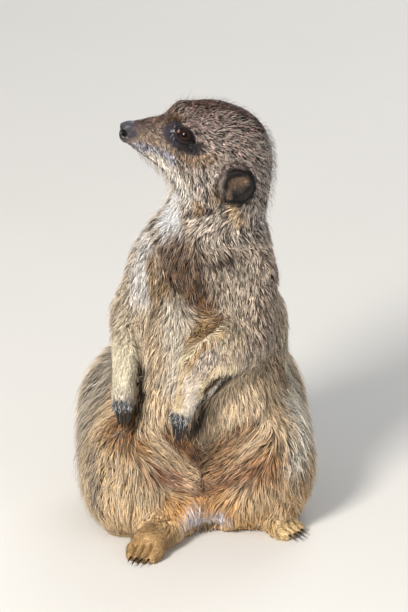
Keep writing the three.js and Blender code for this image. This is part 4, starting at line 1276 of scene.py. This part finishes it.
def grown(some, length, rise, turned):
    """The middles and tips of tufts, and the skin's normals under their middles."""
    way = into_plane(lie_of(root_outline[some]), root_normals[some])
    way = way * np.cos(turned)[:, None] + np.cross(root_normals[some], way) * np.sin(turned)[:, None]
    half, half_normals = on_skin(roots[some] + way * length[:, None] / 2)
    onward = into_plane(way, half_normals)
    end, end_normals = on_skin(half + onward * length[:, None] / 2)
    end = end + end_normals * rise[:, None]
    over_claw = roots[some] + way * length[:, None] + root_normals[some] * (rise + CLEARANCE)[:, None]
    end = mix(end, over_claw, 0.8 * on_digits(root_outline[some])[:, None])
    return half + half_normals * (rise * 0.75)[:, None], end, half_normals


def off_the_floor(start, places):
    """Draws a place that is under the floor back towards its root."""
    drop = np.maximum(start[:, 2] - places[:, 2], 1e-6)
    return places + (start - places) * np.clip((CLEARANCE - places[:, 2]) / drop, 0, 0.95)[:, None]


print("faces to walk on", len(corners))

# %% Length, width and rise of each tuft
EAR_FACTS = (0.5, 1.9, 0.22, 6.0)  # depth, length, width, density
DOWN = [(-5, -45, 14), (6, -45, 14)]  # a path through the short down between the legs
LESS_NEAR_PAD, LESS_IN_DOWN = (0.6, 0.45, 0.2), (0.5, 0.72, 0.3)  # off depth, length and width
facts = mix(root_weights @ bone_facts, np.array(EAR_FACTS), root_ear[:, None])
longer, higher = shag(root_outline)
near_pad = smoothstep(9.5, 5.5, np.linalg.norm(in_head(root_outline) - PAD, axis=1))
downy = smoothstep(9, 5, path_distance(root_outline, DOWN))
for share, less in ((near_pad, LESS_NEAR_PAD), (downy, LESS_IN_DOWN)):
    facts[:, [DEPTH, LENGTH, WIDTH]] *= 1 - share[:, None] * less
low = smoothstep(10, 3, root_outline[:, 2]) * share_of(root_outline, *RUMP)
facts[:, LENGTH] *= 1 - 0.5 * low
longer, higher = longer * (1 - low), higher * (1 - low)
length = facts[:, LENGTH] * rng.uniform(0.65, 1.2, TUFTS) + longer * rng.uniform(0.2, 1, TUFTS)
width = facts[:, WIDTH] * rng.uniform(0.75, 1.3, TUFTS)
rise = facts[:, DEPTH] * rng.uniform(0.4, 1.05, TUFTS) + higher * rng.uniform(0, 1, TUFTS) ** 1.5
middle, tip, half_normals = grown(np.arange(TUFTS), length, rise, rng.normal(0, 0.13, TUFTS))
print("longest tuft mm", length.max().round(1), "widest", width.max().round(2))

# %% Gather the tips into locks
TUFTS_IN_LOCK = 9
LOCKS = TUFTS // TUFTS_IN_LOCK
lock_ids = rng.choice(TUFTS, LOCKS, replace=False)
lock_tree = KDTree(LOCKS)
for i, place in enumerate(tip[lock_ids].tolist()):
    lock_tree.insert(place, i)
lock_tree.balance()
lock = np.array([lock_tree.find(place)[1] for place in tip.tolist()])
pull = np.clip(0.08 * facts[:, LENGTH], 0, 0.6) * rng.uniform(0.6, 1.2, TUFTS)
middle = mix(middle, middle + (tip[lock_ids[lock]] - tip) * 0.35, pull[:, None])
tip = mix(tip, tip[lock_ids[lock]], pull[:, None])
middle, tip = off_the_floor(roots, middle), off_the_floor(roots, tip)
print("locks", LOCKS, "mean pull", pull.mean().round(2))

# %% Flecks of dark and pale
SHORT_COAT, SHORT_FLECK, LONG_FLECK = 3.2, 1.15, 1.6  # mm: flecks are smaller where the coat is short
DARK_SHARE = 0.45
plain, grizzle = markings(root_outline)
lock_shade = rng.normal(0, 1, LOCKS)[lock]


def flecks(places, size, seed):
    """A random number from 0 to 1 that the places inside each small cell of space share."""
    frayed = places + rng.normal(0, 0.14, places.shape) * size
    cells = np.floor(frayed / size).astype(np.int64)
    scrambled = np.sin(cells @ np.array([12.9898, 78.233, 37.719]) + seed) * 43758.5453
    return np.abs(scrambled) % 1


def banded(strength, places, seed):
    """One factor for each tuft: where the grizzle is strong, flecks of the coat are dark or pale."""
    short, long = flecks(places, SHORT_FLECK, seed), flecks(places, LONG_FLECK, seed)
    speck = np.where(facts[:, LENGTH] < SHORT_COAT, short, long)
    dark = mix(speck, rng.random(len(strength)), 0.1) < DARK_SHARE
    level = np.where(dark, rng.normal(-1.5, 0.35, len(strength)), rng.normal(0.72, 0.25, len(strength)))
    return np.exp(strength * level) * (1 - 0.16 * strength)


print("mean grizzle", grizzle.mean().round(2))

# %% Colour the tufts
CREAM = linear("#e8dcc6")  # the tips are drawn towards its hue and keep their own brightness
WHITE, WHITE_SHARE = linear("#e6dfd2"), 0.22  # of the tufts on the digits
shade = 0.12 * lock_shade * (0.5 + 1.4 * grizzle) + rng.normal(0, 0.12, TUFTS) * (0.5 + 0.5 * grizzle)
shade = np.exp(shade)
body = plain * (shade * banded(grizzle, middle, 1))[:, None]
ends = plain * (shade * banded(grizzle, tip, 2) * 1.08)[:, None]
ends = mix(ends, CREAM * (ends.sum(axis=1) / CREAM.sum())[:, None], 0.35 * (1 - near_pad)[:, None])
streak = (rng.random(TUFTS) < WHITE_SHARE * on_digits(root_outline))[:, None]
body, ends = (np.where(streak, WHITE, part) for part in (body, ends))
base = plain * mix(0.8, 0.4, grizzle)[:, None]
print("mean colour", (255 * np.clip(ends.mean(axis=0), 0, 1) ** (1 / 2.2)).round())

# %% [markdown]
# The hair itself is dry keratin. It has a dull sheen and no wet gloss, and each strand is a little lighter
# or darker than the next. Real strands are too fine to show, so they are drawn about two to the millimetre.

# %% Hair material
STRANDS_PER_MM = 2.2
hair, tree, surface = new_material("guard_hair_dry")
place = node(tree, "ShaderNodeTexCoord").outputs["Object"]
strands = node(tree, "ShaderNodeTexNoise", {"Vector": place}, Scale=STRANDS_PER_MM / MM, Detail=2.0)
uneven = node(
    tree, "ShaderNodeMapRange", {"Value": strands.outputs["Fac"]},
    From_Min=0.3, From_Max=0.7, To_Min=0.78, To_Max=1.22,
)
tinted = shaded_tone(tree, uneven.outputs["Result"])
node(tree, surface, {"Base Color": tinted}, Roughness=0.62, Specular_IOR_Level=0.35)
print("hair nodes", len(tree.nodes))

# %% [markdown]
# ## The coat in pieces
# The tufts are gathered by the part of the body they grow on and written as meshes. Each also gets a flat
# map for baking: the skin of each bone is unrolled round the bone, and a tuft is a small patch at its
# root's place there, so its colour from root to tip is kept.

# %% Unroll each bone's skin onto the map
PATCH = 0.003  # side of a tuft's patch on the map


def unrolled(places, bones, names):
    """Each root's place on the skin unrolled round its bone, one band of the map for each bone."""
    mapped = np.zeros((len(places), 2))
    for row, name in enumerate(names):
        index = BONE_NAMES.index(name)
        mine = bones == index
        if not mine.any():
            continue
        axis = unit(bone_to[index] - bone_from[index])
        side = unit(np.cross(axis, (0.3, 0.2, 1.0) if abs(axis[2]) < 0.9 else (0.0, 1.0, 0.1)))
        off = places[mine] - bone_from[index]
        along = off @ axis
        turn = np.arctan2(off @ np.cross(axis, side), off @ side)
        spread_along = (along - along.min()) / max(np.ptp(along), 1e-6)
        mapped[mine, 0] = 0.01 + 0.975 * (turn / (2 * math.pi) + 0.5)
        mapped[mine, 1] = (row + 0.02 + 0.95 * spread_along) / len(names)
    return mapped


bone_of = root_weights.argmax(axis=1)
print("bones with tufts", len(np.unique(bone_of)))

# %% One mesh of tufts
ROOT_DEPTH = 0.5  # mm of a tuft under the skin
TUFT_OVER_FLOOR = 0.03
BLADE = [  # a tuft's triangles: points 0 to 2 round its root, 3 to 5 round its middle, and 6 at its tip
    (1, 2, 0), (4, 1, 0), (3, 4, 0), (5, 2, 1), (4, 5, 1),
    (3, 0, 2), (5, 3, 2), (6, 4, 3), (6, 5, 4), (6, 3, 5),
]
BLADE_PATCH = [(0, 0), (1, 0), (0.5, 0), (0.1, 0.5), (0.9, 0.5), (0.5, 0.5), (0.5, 1)]
RING_OF_POINT = [0, 0, 0, 1, 1, 1, 2]  # at the root, the middle or the tip


def tuft_piece(name, names, tufts):
    """Writes tufts as one mesh. `tufts` holds arrays: roots, the skin's normals there and under the middles,
    middles, tips, widths, tones from root to tip, places on the outline, and bones."""
    start, normals, half_normals, bend, end, wide, tones, places, bones = tufts
    wide = wide[:, None]
    start = start - normals * ROOT_DEPTH
    across, across_bend = unit(np.cross(bend - start, normals)), unit(np.cross(end - start, half_normals))
    up, up_bend = unit(np.cross(across, bend - start)), unit(np.cross(across_bend, end - start))
    points = np.stack([
        start - across * wide * 0.45, start + across * wide * 0.45, start + up * wide * 0.35,
        bend - across_bend * wide * 0.5, bend + across_bend * wide * 0.5, bend + up_bend * wide * 0.42, end,
    ], 1)
    points[:, :, 2] = np.maximum(points[:, :, 2], TUFT_OVER_FLOOR)
    first = np.arange(len(start))[:, None, None] * len(RING_OF_POINT)
    faces = (first + np.array(BLADE)).reshape(-1, 3)
    piece = new_piece(name, points.reshape(-1, 3), faces, hair)
    store(piece, "tone", "FLOAT_COLOR", tones[:, RING_OF_POINT].reshape(-1, 3))
    at = unrolled(places, bones, names)[:, None] + np.array(BLADE_PATCH) * PATCH
    bake_map(piece, at.reshape(-1, 2), faces)
    soft = unit(np.stack([
        normals * 2 - across, normals * 2 + across, normals * 1.5 + up, half_normals * 2 - across_bend,
        half_normals * 2 + across_bend, half_normals * 1.5 + up_bend, half_normals * 1.5 + up_bend,
    ], 1)).reshape(-1, 3)
    piece.data.normals_split_custom_set_from_vertices(soft.tolist())


print("triangles of a tuft", len(BLADE))

# %% Write the coat
PIECES = {
    "coat_face": ("muzzle", "face"), "coat_crown": ("cranium",), "coat_cheeks": ("cheek",),
    "coat_neck": ("neck",), "coat_chest": ("chest",), "coat_belly": ("belly",), "coat_back": ("back",),
    "coat_left_haunch": ("haunch_left", "shin_left"), "coat_right_haunch": ("haunch_right", "shin_right"),
    "coat_left_arm": ("upper_arm_left", "crook_left", "forearm_left", "hand_left"),
    "coat_right_arm": ("upper_arm_right", "forearm_right", "hand_right"),
    "coat_feet": ("foot_left", "foot_right"), "coat_tail": ("tail_root", "tail_middle", "tail_end"),
}
MOST = 19500  # tufts in a piece, to stay under 200,000 triangles
tones = np.stack([base, body, ends], 1)
every = (roots, root_normals, half_normals, middle, tip, width, tones, root_outline, bone_of)
total = 0
for name, names in PIECES.items():
    mine = np.flatnonzero(np.isin(bone_of, [BONE_NAMES.index(bone) for bone in names]))
    parts = max(1, math.ceil(len(mine) / MOST))
    order = mine[np.argsort(root_outline[mine, 2])]
    for number, some in enumerate(np.array_split(order, parts)):
        title = name if parts == 1 else f"{name}_{number + 1}"
        tuft_piece(title, names, [values[np.sort(some)] for values in every])
    total += len(mine) * len(BLADE)
    print(name, len(mine), "tufts in", parts)
print("coat triangles", total)

# %% [markdown]
# Over the coat stand the guard hairs: single long pale or dark-tipped hairs, thin and far apart. They break
# the outline of the flanks, the shoulders and the nape, where the sun catches them.

# %% Guard hairs
GUARD_HAIRS = 8200
# how thickly they stand on each bone's skin, against each other
GUARDED = dict(face=0.3, cranium=1.6, cheek=0.7, neck=0.7, chest=0.25, belly=0.2, back=1.0, haunch_left=1.0)
GUARDED |= dict(haunch_right=2.0, shin_left=0.2, shin_right=0.2, upper_arm_left=0.7, upper_arm_right=0.7)
GUARDED |= dict(tail_root=0.6, tail_middle=0.6, tail_end=0.6)
chin = on_chin(root_outline)
share = root_weights @ np.array([GUARDED.get(name, 0.0) for name in BONE_NAMES])
share *= (root_ear < 0.02) * smoothstep(0.03, 0.09, plain.mean(axis=1))
share *= smoothstep(14, 26, path_distance(root_outline, [(2, -41, 64), (0, -44, 16)]))
share += 0.9 * chin
some = rng.choice(TUFTS, GUARD_HAIRS, replace=False, p=share / share.sum())


def between(low, high):
    """A random number for each guard hair."""
    return rng.uniform(low, high, GUARD_HAIRS)


reach = facts[some, LENGTH] * between(1.1, 1.6) + longer[some] * between(0.3, 1.2) + 1.0 * chin[some]
stand = facts[some, DEPTH] * between(0.9, 1.35) + higher[some] * between(0.2, 1.0) + 1.2 * chin[some]
on_head = root_weights[some][:, [BONE_NAMES.index(name) for name in ("face", "cranium", "cheek", "neck")]]
stand *= 1 + 0.8 * on_head.sum(axis=1)
bend, end, bend_normals = grown(some, reach, stand, rng.normal(0, 0.16, GUARD_HAIRS))
bend, end = off_the_floor(roots[some], bend), off_the_floor(roots[some], end)
print("longest guard hair mm", reach.max().round(1))

# %% Colour and write the guard hairs
pale = mix(plain[some] * 1.3, linear("#e4d9c6"), between(0.2, 0.8)[:, None])
dark_tip = (rng.random(GUARD_HAIRS) < 0.3 * grizzle[some])[:, None]
tones = np.stack([plain[some] * 0.6, pale, np.where(dark_tip, linear("#2b221d"), pale * 1.1)], 1)
widths = facts[some, WIDTH] * between(0.36, 0.6)
guards = (roots[some], root_normals[some], bend_normals, bend, end, widths, tones)
tuft_piece("coat_guard_hairs", BONE_NAMES, (*guards, root_outline[some], bone_of[some]))
print("guard hairs", len(some))

# %% [markdown]
# ## Claws
# The claws of the hands are long, made for digging, and curve down over the digit's end. Those of the feet
# are short and blunt. Each is swept along a shallow arc, flattened from side to side, and comes to a point.
# Horn is built up in layers, so fine streaks run along it. It is darkest past its middle and a shade paler
# at the worn tip, and digging in sand keeps it half polished.

# %% Horn
STREAKS = 5.0  # along the claw, and as many across it
horn, tree, surface = new_material("claw_dark_horn_polished_by_sand")
along = node(tree, "ShaderNodeAttribute", attribute_name="along").outputs["Vector"]
streaks = node(tree, "ShaderNodeTexNoise", {"Vector": along}, Scale=STREAKS, Detail=4.0, Roughness=0.6)
parts = node(tree, "ShaderNodeSeparateXYZ", {"Vector": along})
wobble = node(tree, "ShaderNodeMath", {0: streaks.outputs["Fac"], 1: 0.5, 2: -0.25}, operation="MULTIPLY_ADD")
share_of_length = node(tree, "ShaderNodeMath", {0: parts.outputs["Z"], 1: wobble.outputs[0]}, operation="ADD")
layers = node(tree, "ShaderNodeValToRGB", {"Fac": share_of_length.outputs[0]}, (
    (0, "#27282c"), (0.34, "#1e1c1d"), (0.55, "#14100e"), (1, "#1f1713"),
))
relief = node(tree, "ShaderNodeBump", {"Height": streaks.outputs["Fac"]}, Strength=0.3, Distance=0.1 * MM)
streaked = {"Base Color": layers.outputs["Color"], "Normal": relief.outputs["Normal"]}
node(tree, surface, streaked, Roughness=0.3)
print("horn nodes", len(tree.nodes))

# %% One claw
STEPS, SIDES = 22, 18


def claw(start, end, back, bow, wide, high):
    """One claw's points and triangles, and for each point its place round the claw and along it."""
    share = np.linspace(0, 1, STEPS)
    axis = end - start
    out = unit(back - axis * (back @ axis) / (axis @ axis))
    middle_line = start + np.outer(share, axis) + np.outer(bow * 4 * share * (1 - share), out)
    ahead_way = unit(np.gradient(middle_line, axis=0))
    side = unit(np.cross(ahead_way, out))
    lift = np.cross(side, ahead_way)
    taper = (1 - share**1.5) ** 0.75 * 0.98 + 0.02
    angle = np.linspace(0, 2 * math.pi, SIDES, endpoint=False)
    sines, cosines = np.sin(angle), np.cos(angle)
    ring = side[:, None] * cosines[:, None] * wide + lift[:, None] * sines[:, None] * high
    points = (middle_line[:, None] + ring * taper[:, None, None]).reshape(-1, 3)
    points = np.concatenate([points, start[None], end[None] + ahead_way[-1:] * 0.1])
    i, j = np.meshgrid(np.arange(STEPS - 1), np.arange(SIDES), indexing="ij")
    k = (j + 1) % SIDES
    a, b, c, d = i * SIDES + j, i * SIDES + k, (i + 1) * SIDES + k, (i + 1) * SIDES + j
    faces = [np.stack([a, b, c], 2).reshape(-1, 3), np.stack([a, c, d], 2).reshape(-1, 3)]
    j = np.arange(SIDES)
    k = (j + 1) % SIDES
    faces.append(np.stack([np.full(SIDES, STEPS * SIDES), k, j], 1))
    last = (STEPS - 1) * SIDES
    faces.append(np.stack([last + j, last + k, np.full(SIDES, STEPS * SIDES + 1)], 1))
    around = np.stack([np.tile(cosines, STEPS), np.tile(sines, STEPS), np.repeat(share, SIDES)], 1)
    return points, np.concatenate(faces), np.concatenate([around, [[0, 0, 0], [0, 0, 1]]])


print("points of a claw", STEPS * SIDES + 2)

# %% Sweep the claws of every hand and foot
# limb, title, and in mm half the width, half the height and how far the claw bows
CLAWS = (("hand", "finger_claws", 0.95, 1.25, 2.8), ("foot", "toe_claws", 0.7, 0.8, 0.8))
SHARES = (0.86, 1.0, 1.04, 0.92)  # how far each claw reaches towards its tip's place
SUNK = 3.0  # mm of a claw inside its digit
for limb, title, wide, high, bow in CLAWS:
    for side in ("left", "right"):
        bases, tips, back = DIGITS[limb, side]
        drawn = mix(tips, tips.mean(axis=0), 0.5) if limb == "hand" else mix(tips, bases, 0.42)
        wrist = bone_from[BONE_NAMES.index(f"{limb}_{side}")]
        points, faces, places = [], [], []
        for number, (base, tip_end, share) in enumerate(zip(bases, drawn, SHARES)):
            start = base + unit(wrist - base) * SUNK
            made = claw(start, mix(base, tip_end, share), back, bow, wide, high)
            points.append(made[0])
            faces.append(made[1] + number * len(made[0]))
            places.append(made[2])
        piece = new_piece(f"{title}_{side}", np.concatenate(points), np.concatenate(faces), horn)
        store(piece, "along", "FLOAT_VECTOR", np.concatenate(places))
        node_names = [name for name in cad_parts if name.startswith(title[:-1]) and f"_{side}_" in name]
        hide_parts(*node_names)
        print(piece.name, "replaces", len(node_names))

# %% [markdown]
# ## Whiskers
# Whiskers are stiff and smooth and stand well clear of the coat: rows on the upper lip, a few over each eye,
# on the cheek and under the chin. They thin to nothing at the end and sag a little.

# %% Whiskers
WHISKERS = [
    # root in the head's frame, way, length in mm, sag, colour
    ((30, 10, 14), (0.05, 0.25, 1.0), 11, 1.0, "#b9aa98"),
    ((28, 11, 14.4), (-0.15, 0.35, 1.0), 13, 1.0, "#8a7a6c"),
    ((26, 12, 14), (-0.35, 0.5, 1.0), 10, 1.0, "#b9aa98"),
    ((31, 8.5, 14), (0.1, 0.1, 1.0), 8, 0.6, "#4a3f38"),
    ((45, 7, -7), (-0.3, 1.0, -0.2), 13, 2.0, "#231d1a"),
    ((42, 8, -6), (-0.5, 1.0, -0.1), 15, 2.4, "#231d1a"),
    ((39, 9, -8), (-0.6, 1.0, -0.4), 15, 2.4, "#c9bdae"),
    ((44, 7, -10), (-0.4, 0.9, -0.6), 12, 2.0, "#231d1a"),
    ((40, 8.5, -10.5), (-0.6, 0.9, -0.6), 13, 2.0, "#c9bdae"),
    ((36, 10, -9), (-0.7, 1.0, -0.5), 12, 2.0, "#231d1a"),
    ((48, 5.5, -8), (-0.2, 1.0, -0.3), 9, 1.4, "#231d1a"),
    ((47, 6, -10.5), (-0.3, 0.9, -0.7), 9, 1.4, "#c9bdae"),
    ((16, 20, -14), (-0.7, 0.9, -0.5), 9, 1.0, "#c9bdae"),
    ((12, 21, -16), (-0.7, 0.9, -0.7), 8, 1.0, "#231d1a"),
    ((38, 3, -18), (0.0, 0.3, -1.0), 7, 0.8, "#cfc4b6"),
    ((33, 4, -19), (-0.1, 0.3, -1.0), 8, 0.8, "#cfc4b6"),
    ((28, 5, -20.5), (-0.2, 0.3, -1.0), 8, 0.8, "#cfc4b6"),
    ((42, 2.5, -17), (0.1, 0.3, -1.0), 6, 0.6, "#cfc4b6"),
]
RINGS, CORNERS = 9, 3
print("whiskers", 2 * len(WHISKERS))

# %% Draw the whiskers
ring = np.arange(CORNERS)
after = (ring + 1) % CORNERS
whisker_faces = [[ring[::-1]], [ring + CORNERS * (RINGS - 1)]]  # both ends, then two triangles on each side
for low in CORNERS * np.arange(RINGS - 1):
    whisker_faces.append(np.stack([low + ring, low + after, low + after + CORNERS], 1))
    whisker_faces.append(np.stack([low + ring, low + after + CORNERS, low + ring + CORNERS], 1))
whisker_faces = np.concatenate(whisker_faces)
share = np.linspace(0, 1, RINGS)
radius = 0.13 * (1 - share) ** 0.8 + 0.012
points, faces, tones, flat = [], [], [], []
for side in (1, -1):
    for number, (root, way, reach, sag, hue) in enumerate(WHISKERS):
        root = on_skin(from_head(np.array(root) * (1, side, 1))[None])[0][0]
        way = unit(np.array(way) * (1, side, 1)) @ HEAD_AXES
        line = root - way * 0.6 + np.outer(share * reach, way) - np.outer(sag * share**2, (0, 0, 1.0))
        out = unit(np.cross(way, (0.1, 0.2, 1.0)))
        up = np.cross(out, way)
        turns = 2 * math.pi / CORNERS * ring
        spokes = np.outer(np.cos(turns), out) + np.outer(np.sin(turns), up)
        faces.append(whisker_faces + RINGS * CORNERS * len(points))
        points.append((line[:, None] + spokes * radius[:, None, None]).reshape(-1, 3))
        tones += [linear(hue)] * (RINGS * CORNERS)
        cell = np.array([0.1 + 0.8 * number / len(WHISKERS), 0.3 if side > 0 else 0.7])
        flat.append(cell + np.stack([np.tile([0, 0.5, 1], RINGS), np.repeat(share, CORNERS)], 1) * PATCH)
faces = np.concatenate(faces)
whiskers = new_piece("whiskers", np.concatenate(points), faces, hair)
store(whiskers, "tone", "FLOAT_COLOR", tones)
bake_map(whiskers, np.concatenate(flat), faces)
print("whisker triangles", len(faces))

# %% [markdown]
# ## Size
# The coat must not outgrow the solids. The box of what is shown is printed.

# %% Print the box of what is shown
low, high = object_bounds()
print("visual box mm", [round((b - a) / MM, 1) for a, b in zip(low, high)])
